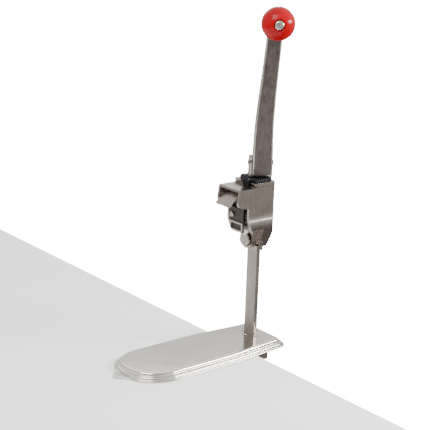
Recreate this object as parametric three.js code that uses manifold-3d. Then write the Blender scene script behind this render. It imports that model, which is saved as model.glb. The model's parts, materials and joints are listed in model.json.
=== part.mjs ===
// Bench can opener: a pressed base with a slide bar through it, a cast head with
// knife and drive wheel, and an upright folding crank with a ball knob.
// Millimetres, +Z up. The origin is the middle of the can seat, on the bench plane.
// +X runs from the can to the bar. The operator stands on the -X, -Y side.

import * as THREE from 'three';
import { mergeVertices } from 'three/addons/utils/BufferGeometryUtils.js';
import Module from 'manifold-3d';

const wasm = await Module();
wasm.setup();

// ---------- Driving dimensions ----------

const SEAT_GAP = 0.3;              // between pieces that are fastened together
const RUN_GAP = 0.35;              // round pieces that turn or slide
const PAST = 1;                    // how far a cut runs past the face it opens
const FAR = 60;                    // reach of a cut that takes all there is on one side

// Base plate, a pressed sheet with a raised can seat
const SHEET = 2;                   // sheet thickness
const PLATEAU_HEIGHT = 10;         // top of the can seat above the bench
const NOSE_RADIUS = 40;            // front end of the seat
const NOSE_CENTRE_X = -65;
const SIDE_END_X = 30;             // the sides begin to draw in here
const SEAT_HALF_WIDTH = 40;
const REAR_X = 116.5;              // rear edge of the seat
const REAR_HALF_WIDTH = 33;
const REAR_CORNER = 5;
const FLANGE_OFFSET = 11;          // flange beyond the edge of the seat
const EAR_X = -117;                // screw ear at the nose
const EAR_RADIUS = 9;
const EAR_HOLE = 5;
const SHOULDER = 3.5;              // rounding of the seat's edge
const LEDGE_DROP = 4.6;            // step half way down the wall
const WALL_OUT = 8.2;              // foot of the wall beyond the seat's edge
const LEDGE_ROUNDING = 1.86;       // where the ledge turns down into the wall
const LEDGE_INNER = 3.9;           // inner edge of the ledge beyond the seat's edge
const LEDGE_SLOPE = 0.1;
const DRAWN_SHEET = 1.6;           // sheet at the wall, thinned by the press
const EAR_BLEND = 15;              // the ear's sides meet the flange this far behind the nose

// Rubber pad under the seat
const PAD_LENGTH = 96;
const PAD_WIDTH = 48;
const PAD_CORNER = 10;

// Slide bar and its guide
const BAR_THICKNESS = 6.4;
const BAR_WIDTH = 20;
const BAR_LENGTH = 290;
const BAR_X = 95.4;
const GUIDE_LENGTH = 33;
const GUIDE_WIDTH = 37;
const GUIDE_DEPTH = 24;            // below the bench plane
const GUIDE_LEAD = 11;             // guide before the bar's front face
const GUIDE_CORNER = 3;
const GUIDE_SCREW_DIAMETER = 3.6;
const GUIDE_SCREW_HEAD = 7;
const GUIDE_SCREW_LENGTH = 13;
const GUIDE_SCREW_FRONT = 5;       // from the guide's front face
const GUIDE_SCREW_REAR = 6;        // from the bar's rear face
const GUIDE_SCREW_SIDE = 4.2;      // from the bar's edges
const SLOT_WIDTH = 0.8;            // driver slots in the countersunk screws
const SLOT_DEPTH = 0.7;
const BAR_CORNER = 0.8;
const BRAKE_BORE = 8.6;
const BRAKE_Z = -10;
const SHOE_LENGTH = 4;
const SPRING_LENGTH = 5;
const SPRING_WIRE = 0.9;
const SPRING_TURNS = 3.5;
const SPRING_STEPS = 42;
const GRUB_LENGTH = 4.5;
const GRUB_SLOT = 1.2;
const GRUB_SLOT_DEPTH = 1.5;

// Head casting
const HEAD_FRONT = 75;             // front wall of the gear box
const HEAD_REAR = 110;
const HEAD_HALF_WIDTH = 22;
const HEAD_WALL = 3.5;
const REAR_WALL = 2.6;
const REAR_ROUNDING = 7;           // plan rounding of the rear corners
const HEAD_TOP = 222.2;
const HEAD_BELLY = 24;             // half width at the rolled lower edge
const BELLY_Z = 174;
const SKIRT_Z = 165;               // lower edge of the side walls
const SKIRT_HALF_WIDTH = 18.5;
const ARM_FRONT = 92;
const ARM_FOOT_Z = 138;
const ARM_FOOT_REAR = 105;
const ARM_FOOT_HALF_WIDTH = 14.5;
const ARM_FLARE_Z = 153;           // the arm bows outwards above this
const ARM_CORNER = 3;
const ARM_CHAMFER = 1.5;
const BAR_IN_ARM = 11;             // bar held in the arm
const PIN_DIAMETER = 3.6;
const PIN_FROM_FOOT = 1;           // lower pin above the arm's foot
const PIN_FROM_TOP = 4;            // upper pin below the bar's top
const PIN_PROUD = 0.4;
const COLLAR_Z = 132;              // foot of the collar round the bar
const COLLAR_LEAD = 7;             // collar before the middle of the bar
const COLLAR_REAR_STEP = 3.5;
const COLLAR_SIDE_STEP = 2;
const COLLAR_CORNER = 2;
const HOOD_FRONT = 50;
const HOOD_TOP = 221.5;
const HOOD_ROOF = 3;
const HOOD_LIP_X = 47.2;
const HOOD_LIP_Z = 206;
const HOOD_HEEL_X = 54.5;
const HOOD_HEEL_Z = 197;
const CHEEK_X = 65.5;              // front edge of the side walls at the knife
const CHEEK_FOOT_X = 71;
const CHEEK_TURN = 6;              // the hood's heel turns down into the cheek
const HEEL_FALL = 1.2;
const BELLY_ROLL = 0.6;            // how the rolled edge stands out and draws in
const BELLY_FADE = 12;             // the roll dies out this far above its widest place
const FLOOR_Z = 170;               // floor of the gear box
const CORNER_POST = 4.6;
const PLATE_THICKNESS = 4.7;       // top plate
const PLATE_CORNER = 1.2;
const PLATE_LIP = 1.8;             // front edge above its rebate
const PLATE_REBATE = 2.5;
const PLATE_SCREW_INSET = 4.4;     // from both edges
const PLATE_SCREW_DIAMETER = 3;
const PLATE_SCREW_HEAD = 5.6;
const PLATE_SCREW_LENGTH = 12;

// Drive: crank spindle, a pair of bevel gears and the wheel shaft
const SPINDLE_X = 95;
const SPINDLE_DIAMETER = 12;
const SPINDLE_NECK = 8;
const SPINDLE_TENON = 10;
const SHAFT_Z = 147;
const SHAFT_DIAMETER = 6;
const GEAR_TEETH = 12;
const GEAR_PITCH_RADIUS = 8.5;
const GEAR_FACE = 4;
const GEAR_BACK = 1.6;
const TOOTH_ADDENDUM = 1;
const TOOTH_DEDENDUM = 1.6;
const TOOTH_TIP_SHARE = 0.19;      // of the angle from tooth to tooth
const TOOTH_FOOT_SHARE = 0.6;
const WHEEL_DIAMETER = 19;
const WHEEL_THICKNESS = 3.4;
const WHEEL_TEETH = 26;
const WHEEL_TOOTH_DEPTH = 1.1;
const WHEEL_FRONT = 77.2;
const NUT_DIAMETER = 9;
const HOUSING_FRONT = 81.6;
const HOUSING_RADIUS = 12.6;
const GEAR_CLEARANCE = 1.3;        // cavity beyond the teeth
const GEAR_END_CLEARANCE = 0.6;
const BAR_WALL = 1.6;              // casting between the gear cavity and the bar
const SPINDLE_FOOT_GAP = 1.5;
const CAVITY_STEP = 0.4;           // cavity's floor below the spindle's foot
const SHAFT_END = 5.4;             // shaft's end before the spindle's axis
const BUSH_END_GAP = 0.9;
const SHAFT_PROUD = 0.1;
const WASHER_GAP = 0.2;
const BUSH_WALL = 2.2;
const LOWER_BUSH_FLANGE = 24;
const UPPER_BUSH_FLANGE = 21;
const BUSH_FLANGE_THICKNESS = 2.2;
const CLIP_THICKNESS = 1.2;
const CLIP_WALL = 2.6;
const CLIP_GAP = 0.6;
const TOOTH_RISE = 0.35;           // of the angle from wheel tooth to wheel tooth
const TOOTH_FALL = 0.6;

// Knife and what holds it
const KNIFE_X = 72.4;
const KNIFE_THICKNESS = 2.2;
const KNIFE_WIDTH = 12.4;
const KNIFE_Y = -6.6;
const KNIFE_TIP_Z = 155;
const KNIFE_POINT = 5;
const KNIFE_TOP_Z = 195.5;
const KNIFE_SLOT_WIDTH = 6.4;
const KNIFE_SLOT_LENGTH = 18;
const KNIFE_SLOT_Z = 168.5;
const KNIFE_SLOT_CORNER = 1.2;
const HOLDER_FRONT = 62.6;
const HOLDER_PLATE = 4;
const HOLDER_NEAR_Y = -12.8;
const HOLDER_FAR_Y = 15;
const HOLDER_FOOT_Z = 160.5;
const HOLDER_TOP_Z = 192;
const HOLDER_LEDGE_Z = 174;
const HOLDER_PIN_Y = 9.5;
const HOLDER_PIN_Z = 182;
const HOLDER_PIN_DIAMETER = 5;
const HOLDER_PIN_HEAD = 7.5;
const HOLDER_PIN_HEAD_THICKNESS = 1.8;
const HOLDER_PIN_CHAMFER = 0.6;
const HOLDER_PIN_SHORT = 0.4;      // its end inside the wall's inner face
const HOLDER_RELIEF = 1.4;         // upper half of the face set back
const HOLDER_POCKET = 1.8;         // pocket in the lower half
const HOLDER_POCKET_EDGE = 2.4;
const HOLDER_POCKET_FAR = 5;
const HOLDER_POCKET_FOOT = 3;
const HOLDER_POCKET_TOP = 2.6;
const HOLDER_BULGE = 2.2;          // far side rounded out at the ledge
const HOLDER_TURN = 6;
const HOLDER_STEP = 3;             // far side drawn in at the top
const CLAMP_FAR = 3.2;             // clamp block short of the far side
const BOSS_GAP = 2;                // boss beside the knife

// Guard plate under the hood
const GUARD_THICKNESS = 1.5;
const GUARD_FOOT_X = 41;
const GUARD_FOOT_Z = 198.3;
const GUARD_BEND = 12;             // from the hood's front edge back to the bend
const GUARD_NEAR_Y = -12;
const GUARD_TAIL = 4;              // short of the gear box's front wall
const GUARD_BEND_SPREAD = 1.1;

// Black cap on the top plate
const CAP_THICKNESS = 3.7;
const CAP_RADIUS = 19.6;
const CAP_LUG_X = 68.4;
const CAP_LUG_Y = -6.6;
const CAP_LUG_Z = 234.6;
const CAP_LUG_RADIUS = 4.3;
const CAP_LUG_LENGTH = 8;
const CAP_TAB_FAR_Y = 1.4;         // far end of the tab over the plate's front
const CAP_TAB_THICKNESS = 2.4;
const CAP_TAB_DROP = 0.5;          // its top below the cap's top
const CAP_CORNER = 1.2;
const CAP_CORNER_INSET = 1;        // from the plate's front edge
const CAP_SIDE_INSET = 0.6;
const CAP_NECK = 10;               // the lug's arm runs this near the spindle's axis
const CAP_NECK_NEAR = 0.6;
const CAP_NECK_FAR = 3;

// Crank: hub on the spindle, folding lever and ball knob
const CRANK_ANGLE = -36.5;         // degrees about Z, lever as parked
const HINGE_Z = 250;
const HINGE_DIAMETER = 7;
const LEVER_FOOT_Z = 234.7;        // foot of the side walls
const LEVER_WEB_FOOT_Z = 232.4;    // foot of the front web
const LEVER_MIDDLE = 6.4;          // middle of the lever beside the spindle
const LEVER_WIDTH = 26.4;
const LEVER_PARALLEL_Z = 262;      // the sides are parallel up to here
const LEVER_WAIST_Z = 320;
const LEVER_TIP_WIDTH = 20;
const LEVER_TIP_MIDDLE = 16;
const LEVER_FRONT = 11;            // front face before the spindle's axis
const LEVER_DEPTH = 14;
const LEVER_TIP_DEPTH = 9;
const LEVER_WALL = 3.4;
const LEVER_BEVEL = 2.2;
const LEVER_DRAW_IN = 0.6;         // of each side, at the end of the straight part
const LEVER_STRAIGHT = 40;         // straight part's end below the waist
const LEVER_BOW = 45;              // bend's middle above the waist
const LEVER_LEAN = 4;
const LEVER_WAIST_DRAW = 1.4;
const LEVER_THIN_FROM = 20;        // thinning starts above the hinge, ends below the knob
const HUB_GAP = 0.5;               // hub above the cap
const HUB_REAR = 11;
const HUB_SHOULDER = 4;
const HUB_STOP_GAP = 0.3;
const HUB_FOOT_GAP = 0.8;
const CHEEK_WIDTH = 4;
const CHEEK_RADIUS = 9.5;
const TENON_SHORT = 2;             // tenon below the hinge pin
const SOCKET_SHORT = 1.7;
const PIN_END_LEFT = 1.4;
const PIN_END_RIGHT = 1.6;
const KNOB_Z = 433;
const KNOB_RADIUS = 21.3;
const KNOB_LENGTH = 39.5;
const KNOB_RECESS_DIAMETER = 13.6;
const KNOB_RECESS_DEPTH = 2.6;
const STUD_DIAMETER = 8;
const STUD_HEAD = 11.6;
const STUD_PROUD = 0.8;
const STUD_CHAMFER = 1.4;
const STUD_CHAMFER_DEPTH = 0.4;
const STUD_RIVET = 1.8;
const KNOB_STEPS = 12;
const WASHER_DIAMETER = 16;
const WASHER_THICKNESS = 2;

// ---------- Finishes ----------

const finish = (color, metalness, roughness) =>
  new THREE.MeshStandardMaterial({ color, metalness, roughness });
const polishedSteel = finish(0xd6cfc1, 1, 0.22);
const satinSteel = finish(0x9a918a, 1, 0.42);
const forgedSteel = finish(0x6d635f, 1, 0.5);
const toolSteel = finish(0x8c857d, 1, 0.35);
const bronze = finish(0xa8793f, 1, 0.4);
const blackPlastic = finish(0x222228, 0, 0.5);
const blackRubber = finish(0x18181a, 0, 0.85);
const redPlastic = finish(0xc4121c, 0, 0.18);

// ---------- Solid helpers ----------

const DEGREE = Math.PI / 180;
const ROUND = 24;                  // segments round a full circle
const WELD = 1e-4;                 // corners nearer than this are one

// A manifold-3d solid from a closed geometry
function solid(geometry) {
  const bare = geometry.index ? geometry.toNonIndexed() : geometry.clone();
  bare.deleteAttribute('normal');
  bare.deleteAttribute('uv');
  const merged = mergeVertices(bare, WELD);
  return new wasm.Manifold(new wasm.Mesh({
    numProp: 3,
    vertProperties: new Float32Array(merged.attributes.position.array),
    triVerts: new Uint32Array(merged.index.array),
  }));
}

// A geometry from a manifold-3d solid
function geometryOf(body) {
  const { vertProperties, triVerts } = body.getMesh();
  const geometry = new THREE.BufferGeometry();
  geometry.setAttribute('position', new THREE.BufferAttribute(new Float32Array(vertProperties), 3));
  geometry.setIndex(new THREE.BufferAttribute(new Uint32Array(triVerts), 1));
  return geometry;
}

function box(x0, x1, y0, y1, z0, z1) {
  const geometry = new THREE.BoxGeometry(x1 - x0, y1 - y0, z1 - z0);
  geometry.translate((x0 + x1) / 2, (y0 + y1) / 2, (z0 + z1) / 2);
  return solid(geometry);
}

// Turns a geometry's +Z into the named axis
function aim(geometry, axis) {
  if (axis === 'x') geometry.rotateY(90 * DEGREE);
  if (axis === 'y') geometry.rotateX(-90 * DEGREE);
  return geometry;
}

// A round bar between two places along an axis, centred on the other two coordinates
function rod(axis, radius, from, to, across, up, segments = ROUND) {
  const geometry = new THREE.CylinderGeometry(radius, radius, to - from, segments);
  geometry.rotateX(90 * DEGREE);
  geometry.translate(0, 0, (from + to) / 2);
  aim(geometry, axis);
  if (axis === 'x') geometry.translate(0, across, up);
  if (axis === 'y') geometry.translate(across, 0, up);
  if (axis === 'z') geometry.translate(across, up, 0);
  return solid(geometry);
}

// A turned piece: [radius, place] pairs, starting and ending on the axis
function turned(profile, axis = 'z', segments = ROUND) {
  const points = profile.map(([radius, place]) => new THREE.Vector2(radius, place));
  const geometry = new THREE.LatheGeometry(points, segments);
  geometry.rotateX(90 * DEGREE);
  return aim(geometry, axis);
}

// A ring or sleeve with a rectangular section
function ringProfile(inner, outer, from, to) {
  return [[inner, from], [outer, from], [outer, to], [inner, to], [inner, from]];
}

function shapeOf(points) {
  return new THREE.Shape(points.map(([x, y]) => new THREE.Vector2(x, y)));
}

function extruded(shape, from, to, curveSegments = 8) {
  const geometry = new THREE.ExtrudeGeometry(shape, {
    depth: to - from, bevelEnabled: false, curveSegments,
  });
  geometry.translate(0, 0, from);
  return geometry;
}

// A prism along Y of an outline given in (x, z)
function prismY(shape, from, to, curveSegments = 8) {
  const geometry = extruded(shape, -to, -from, curveSegments);
  geometry.rotateX(90 * DEGREE);
  return solid(geometry);
}

// A prism along X of an outline given in (y, z)
function prismX(shape, from, to, curveSegments = 8) {
  const geometry = extruded(shape, from, to, curveSegments);
  geometry.rotateX(90 * DEGREE);
  geometry.rotateZ(90 * DEGREE);
  return solid(geometry);
}

function prismZ(shape, from, to, curveSegments = 8) {
  return solid(extruded(shape, from, to, curveSegments));
}

function roundedRectangle(x0, x1, y0, y1, radius) {
  const shape = new THREE.Shape();
  shape.moveTo(x0 + radius, y0);
  shape.lineTo(x1 - radius, y0);
  shape.absarc(x1 - radius, y0 + radius, radius, -90 * DEGREE, 0, false);
  shape.absarc(x1 - radius, y1 - radius, radius, 0, 90 * DEGREE, false);
  shape.absarc(x0 + radius, y1 - radius, radius, 90 * DEGREE, 180 * DEGREE, false);
  shape.absarc(x0 + radius, y0 + radius, radius, 180 * DEGREE, 270 * DEGREE, false);
  return shape;
}

function piece(name, body, material) {
  const geometry = body instanceof THREE.BufferGeometry ? body : geometryOf(body);
  const mesh = new THREE.Mesh(geometry, material);
  mesh.name = name;
  return mesh;
}

// ---------- Base plate ----------

// The seat's outline is the tight band round these circles: [x, y, radius]
const SEAT_CIRCLES = [
  [NOSE_CENTRE_X, 0, NOSE_RADIUS],
  [SIDE_END_X, 0, SEAT_HALF_WIDTH],
  [REAR_X - REAR_CORNER, REAR_HALF_WIDTH - REAR_CORNER, REAR_CORNER],
  [REAR_X - REAR_CORNER, REAR_CORNER - REAR_HALF_WIDTH, REAR_CORNER],
];
const EAR_CIRCLES = [
  [EAR_X, 0, EAR_RADIUS],
  [NOSE_CENTRE_X - NOSE_RADIUS + EAR_BLEND, 0, EAR_BLEND + FLANGE_OFFSET],
];
const OUTLINE_STEPS = 48;

// The band's points, pushed out by offset
function bandPoints(circles, offset) {
  const points = [];
  for (let i = 0; i < OUTLINE_STEPS; i += 1) {
    const angle = (i + 0.5) / OUTLINE_STEPS * 360 * DEGREE;
    const nx = Math.cos(angle);
    const ny = Math.sin(angle);
    const reach = circles.map(([x, y, r]) => x * nx + y * ny + r);
    const [x, y, r] = circles[reach.indexOf(Math.max(...reach))];
    points.push([x + (r + offset) * nx, y + (r + offset) * ny]);
  }
  return points;
}

// A dome of stacked bands: [offset, z] from the bottom up
function dome(levels) {
  const positions = [];
  const rings = levels.map(([offset, z]) => bandPoints(SEAT_CIRCLES, offset).map(([x, y]) => [x, y, z]));
  const push = (...corners) => corners.forEach((corner) => positions.push(...corner));
  for (let k = 0; k < rings.length - 1; k += 1) {
    for (let i = 0; i < OUTLINE_STEPS; i += 1) {
      const j = (i + 1) % OUTLINE_STEPS;
      push(rings[k][i], rings[k][j], rings[k + 1][j]);
      push(rings[k][i], rings[k + 1][j], rings[k + 1][i]);
    }
  }
  const foot = rings[0];
  const top = rings[rings.length - 1];
  const middle = (ring) => [0, 0, ring[0][2]];
  for (let i = 0; i < OUTLINE_STEPS; i += 1) {
    const j = (i + 1) % OUTLINE_STEPS;
    push(middle(foot), foot[j], foot[i]);
    push(middle(top), top[i], top[j]);
  }
  const geometry = new THREE.BufferGeometry();
  geometry.setAttribute('position', new THREE.Float32BufferAttribute(positions, 3));
  return solid(geometry);
}

// Rounded shoulder, small ledge and rolled foot
function wallLevels() {
  const levels = [];
  const ledgeZ = PLATEAU_HEIGHT - LEDGE_DROP;
  levels.push([WALL_OUT, SHEET / 2]);
  for (let i = 0; i <= 3; i += 1) {
    const angle = i / 3 * 90 * DEGREE;
    levels.push([
      WALL_OUT - LEDGE_ROUNDING * (1 - Math.cos(angle)),
      ledgeZ - LEDGE_ROUNDING * (1 - Math.sin(angle)),
    ]);
  }
  levels.push([LEDGE_INNER, ledgeZ + LEDGE_SLOPE]);
  for (let i = 0; i <= 4; i += 1) {
    const angle = i / 4 * 90 * DEGREE;
    levels.push([
      SHOULDER * Math.cos(angle),
      PLATEAU_HEIGHT - SHOULDER * (1 - Math.sin(angle)),
    ]);
  }
  return levels;
}

function hollowLevels() {
  const ledgeZ = PLATEAU_HEIGHT - LEDGE_DROP;
  return [
    [WALL_OUT - SHEET, -PAST],
    [WALL_OUT - SHEET, ledgeZ - SHEET - 1],
    [SHOULDER - DRAWN_SHEET, ledgeZ - SHEET],
    [SHOULDER - DRAWN_SHEET, PLATEAU_HEIGHT - SHOULDER],
    [0, PLATEAU_HEIGHT - SHEET],
  ];
}

const guideX0 = BAR_X - BAR_THICKNESS / 2 - GUIDE_LEAD;
const guideX1 = guideX0 + GUIDE_LENGTH;
const guideTop = PLATEAU_HEIGHT - SHEET - SEAT_GAP;
const GUIDE_SCREWS = [
  ['guide_screw_front', guideX0 + GUIDE_SCREW_FRONT, 0],
  ['guide_screw_rear', BAR_X + BAR_THICKNESS / 2 + GUIDE_SCREW_REAR, 0],
  ['guide_screw_near', BAR_X, -(BAR_WIDTH / 2 + GUIDE_SCREW_SIDE)],
  ['guide_screw_far', BAR_X, BAR_WIDTH / 2 + GUIDE_SCREW_SIDE],
];

// Countersunk screw, its head's top at z = 0 and its point downwards
function countersunk(head, shank, length, grow = 0) {
  const headDepth = (head - shank) / 2;
  return [
    [0, -length - grow], [shank / 2 + grow, -length - grow], [shank / 2 + grow, -headDepth],
    [head / 2 + grow, 0], [head / 2 + grow, grow], [0, grow],
  ].filter(([r, z], i, all) => i === 0 || r !== all[i - 1][0] || z !== all[i - 1][1]);
}

function countersunkHole(x, y, z, head, shank, length) {
  const geometry = turned(countersunk(head, shank, length, SEAT_GAP), 'z', 20);
  geometry.translate(x, y, z);
  return solid(geometry);
}

function countersunkScrew(name, x, y, z, head, shank, length) {
  const slotted = solid(turned(countersunk(head, shank, length), 'z', 20))
    .subtract(box(-head, head, -SLOT_WIDTH / 2, SLOT_WIDTH / 2, -SLOT_DEPTH, PAST));
  const mesh = piece(name, slotted, toolSteel);
  mesh.position.set(x, y, z);
  return mesh;
}

function barSlot(from, to) {
  const halfX = BAR_THICKNESS / 2 + RUN_GAP;
  const halfY = BAR_WIDTH / 2 + RUN_GAP;
  return box(BAR_X - halfX, BAR_X + halfX, -halfY, halfY, from, to);
}

function basePlate() {
  const flange = prismZ(shapeOf(bandPoints(SEAT_CIRCLES, FLANGE_OFFSET)), 0, SHEET);
  const ear = prismZ(shapeOf(bandPoints(EAR_CIRCLES, 0)), 0, SHEET);
  let plate = flange.add(ear).add(dome(wallLevels())).subtract(dome(hollowLevels()));
  plate = plate.subtract(rod('z', EAR_HOLE / 2, -PAST, SHEET + PAST, EAR_X, 0, 20));
  plate = plate.subtract(barSlot(0, PLATEAU_HEIGHT + PAST));
  for (const [, x, y] of GUIDE_SCREWS) {
    plate = plate.subtract(countersunkHole(x, y, PLATEAU_HEIGHT, GUIDE_SCREW_HEAD,
      GUIDE_SCREW_DIAMETER, GUIDE_SCREW_LENGTH));
  }
  return piece('base_plate', plate, polishedSteel);
}

function basePad() {
  const half = PAD_LENGTH / 2;
  const outline = roundedRectangle(-half, half, -PAD_WIDTH / 2, PAD_WIDTH / 2, PAD_CORNER);
  return piece('base_pad', extruded(outline, 0, PLATEAU_HEIGHT - SHEET - SEAT_GAP, 4), blackRubber);
}

function barGuide() {
  const outline = roundedRectangle(guideX0, guideX1, -GUIDE_WIDTH / 2, GUIDE_WIDTH / 2,
    GUIDE_CORNER);
  let block = prismZ(outline, -GUIDE_DEPTH, guideTop, 3).subtract(barSlot(-GUIDE_DEPTH - PAST,
    PLATEAU_HEIGHT));
  block = block.subtract(rod('x', BRAKE_BORE / 2, BAR_X, guideX1 + PAST, 0, BRAKE_Z, 24));
  for (const [, x, y] of GUIDE_SCREWS) {
    block = block.subtract(rod('z', GUIDE_SCREW_DIAMETER / 2 + SEAT_GAP,
      PLATEAU_HEIGHT - GUIDE_SCREW_LENGTH - PAST, PLATEAU_HEIGHT, x, y, 16));
  }
  return piece('bar_guide', block, satinSteel);
}

function brake() {
  const group = new THREE.Group();
  const radius = BRAKE_BORE / 2 - SEAT_GAP;
  const shoeFrom = BAR_X + BAR_THICKNESS / 2 + SEAT_GAP;
  const springFrom = shoeFrom + SHOE_LENGTH + SEAT_GAP;
  const grubFrom = springFrom + SPRING_LENGTH + SEAT_GAP;
  group.add(piece('brake_shoe', rod('x', radius, shoeFrom, shoeFrom + SHOE_LENGTH, 0, BRAKE_Z, 24),
    blackPlastic));
  const coilRadius = radius - SPRING_WIRE;
  const wire = new THREE.Shape().absarc(0, 0, SPRING_WIRE / 2, 0, 360 * DEGREE, false);
  const helix = new THREE.CatmullRomCurve3(Array.from({ length: SPRING_STEPS + 1 }, (_, i) => {
    const angle = i / SPRING_STEPS * SPRING_TURNS * 360 * DEGREE;
    const run = SPRING_WIRE / 2 + i / SPRING_STEPS * (SPRING_LENGTH - SPRING_WIRE);
    return new THREE.Vector3(springFrom + run, coilRadius * Math.cos(angle),
      BRAKE_Z + coilRadius * Math.sin(angle));
  }));
  group.add(piece('brake_spring', new THREE.ExtrudeGeometry(wire, {
    steps: SPRING_STEPS + 2, extrudePath: helix, curveSegments: 3,
  }), toolSteel));
  const grub = rod('x', radius, grubFrom, grubFrom + GRUB_LENGTH, 0, BRAKE_Z, 24)
    .subtract(box(grubFrom + GRUB_LENGTH - GRUB_SLOT_DEPTH, grubFrom + GRUB_LENGTH + PAST,
      -radius - PAST, radius + PAST, BRAKE_Z - GRUB_SLOT / 2, BRAKE_Z + GRUB_SLOT / 2));
  group.add(piece('brake_screw', grub, toolSteel));
  return group;
}

// ---------- Head ----------

const barTop = ARM_FOOT_Z + BAR_IN_ARM;
const PIN_LEVELS = [ARM_FOOT_Z + PIN_FROM_FOOT, barTop - PIN_FROM_TOP];
const plateTop = HEAD_TOP + SEAT_GAP + PLATE_THICKNESS;

function slideBar() {
  const halfX = BAR_THICKNESS / 2;
  const outline = roundedRectangle(BAR_X - halfX, BAR_X + halfX, -BAR_WIDTH / 2, BAR_WIDTH / 2,
    BAR_CORNER);
  let bar = prismZ(outline, barTop - BAR_LENGTH, barTop, 2);
  for (const z of PIN_LEVELS) {
    bar = bar.subtract(rod('y', PIN_DIAMETER / 2 + SEAT_GAP, -BAR_WIDTH, BAR_WIDTH, BAR_X, z, 16));
  }
  return piece('slide_bar', bar, satinSteel);
}

// Half of the casting's outer section at a height
function armHalfWidth(z) {
  const share = (z - ARM_FOOT_Z) / (SKIRT_Z - ARM_FOOT_Z);
  return ARM_FOOT_HALF_WIDTH + share * (SKIRT_HALF_WIDTH - ARM_FOOT_HALF_WIDTH);
}

function barPins() {
  return PIN_LEVELS.map((z, i) => {
    const half = armHalfWidth(z) + PIN_PROUD;
    return piece(`bar_pin_${i === 0 ? 'lower' : 'upper'}`,
      rod('y', PIN_DIAMETER / 2, -half, half, BAR_X, z, 16), toolSteel);
  });
}

// Casting seen from the side: hood, gear box, arm
function sideOutline() {
  const shape = new THREE.Shape();
  shape.moveTo(HOOD_FRONT, HOOD_TOP);
  shape.lineTo(HOOD_LIP_X, HOOD_LIP_Z);
  shape.quadraticCurveTo(HOOD_LIP_X - 0.6, HOOD_HEEL_Z + 0.6, HOOD_HEEL_X, HOOD_HEEL_Z);
  shape.lineTo(CHEEK_X - 2, HOOD_HEEL_Z - HEEL_FALL);
  shape.quadraticCurveTo(CHEEK_X + 0.4, HOOD_HEEL_Z - HEEL_FALL * 1.5, CHEEK_X, HOOD_HEEL_Z - CHEEK_TURN);
  shape.quadraticCurveTo(CHEEK_X - 0.5, BELLY_Z - 2, CHEEK_FOOT_X, SKIRT_Z);
  shape.lineTo(ARM_FRONT - ARM_CORNER, SKIRT_Z);
  shape.quadraticCurveTo(ARM_FRONT, SKIRT_Z, ARM_FRONT, SKIRT_Z - ARM_CORNER);
  shape.lineTo(ARM_FRONT, ARM_FOOT_Z);
  shape.lineTo(ARM_FOOT_REAR - ARM_CHAMFER, ARM_FOOT_Z);
  shape.lineTo(ARM_FOOT_REAR, ARM_FOOT_Z + ARM_CHAMFER);
  shape.quadraticCurveTo(HEAD_REAR, ARM_FLARE_Z, HEAD_REAR, SKIRT_Z);
  shape.lineTo(HEAD_REAR, HEAD_TOP);
  shape.lineTo(HEAD_FRONT, HEAD_TOP);
  shape.lineTo(HEAD_FRONT, HOOD_TOP);
  return shape;
}

// Casting seen from the front: straight walls, rolled lower edge, tapering arm
function frontOutline() {
  const shape = new THREE.Shape();
  shape.moveTo(-ARM_FOOT_HALF_WIDTH, ARM_FOOT_Z - 1);
  shape.lineTo(ARM_FOOT_HALF_WIDTH, ARM_FOOT_Z - 1);
  shape.quadraticCurveTo(SKIRT_HALF_WIDTH - 1, ARM_FLARE_Z, HEAD_BELLY - 1, SKIRT_Z);
  shape.quadraticCurveTo(HEAD_BELLY + BELLY_ROLL, SKIRT_Z + BELLY_FADE / 2, HEAD_BELLY - BELLY_ROLL,
    BELLY_Z + BELLY_FADE / 4);
  shape.quadraticCurveTo(HEAD_HALF_WIDTH, BELLY_Z + BELLY_FADE / 2, HEAD_HALF_WIDTH, BELLY_Z + BELLY_FADE);
  shape.lineTo(HEAD_HALF_WIDTH, HEAD_TOP + 1);
  shape.lineTo(-HEAD_HALF_WIDTH, HEAD_TOP + 1);
  shape.lineTo(-HEAD_HALF_WIDTH, BELLY_Z + BELLY_FADE);
  shape.quadraticCurveTo(-HEAD_HALF_WIDTH, BELLY_Z + BELLY_FADE / 2, BELLY_ROLL - HEAD_BELLY,
    BELLY_Z + BELLY_FADE / 4);
  shape.quadraticCurveTo(-HEAD_BELLY - BELLY_ROLL, SKIRT_Z + BELLY_FADE / 2, 1 - HEAD_BELLY, SKIRT_Z);
  shape.quadraticCurveTo(1 - SKIRT_HALF_WIDTH, ARM_FLARE_Z, -ARM_FOOT_HALF_WIDTH, ARM_FOOT_Z - 1);
  return shape;
}

// Bevel gears: the apex of both pitch cones is (SPINDLE_X, 0, SHAFT_Z)
const pinionBack = SPINDLE_X - GEAR_PITCH_RADIUS - GEAR_BACK;
const gearReach = GEAR_PITCH_RADIUS + TOOTH_ADDENDUM;
const cavityRadius = gearReach + GEAR_CLEARANCE;
const gearTopZ = SHAFT_Z + GEAR_PITCH_RADIUS + GEAR_BACK;
const barSocketTop = barTop + SEAT_GAP;
const lowerBushZ = gearTopZ + BUSH_END_GAP;
const PLATE_SCREWS = [
  ['plate_screw_near_front', HEAD_FRONT + PLATE_SCREW_INSET, PLATE_SCREW_INSET - HEAD_HALF_WIDTH],
  ['plate_screw_near_rear', HEAD_REAR - PLATE_SCREW_INSET, PLATE_SCREW_INSET - HEAD_HALF_WIDTH],
  ['plate_screw_far_front', HEAD_FRONT + PLATE_SCREW_INSET, HEAD_HALF_WIDTH - PLATE_SCREW_INSET],
  ['plate_screw_far_rear', HEAD_REAR - PLATE_SCREW_INSET, HEAD_HALF_WIDTH - PLATE_SCREW_INSET],
];

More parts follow.
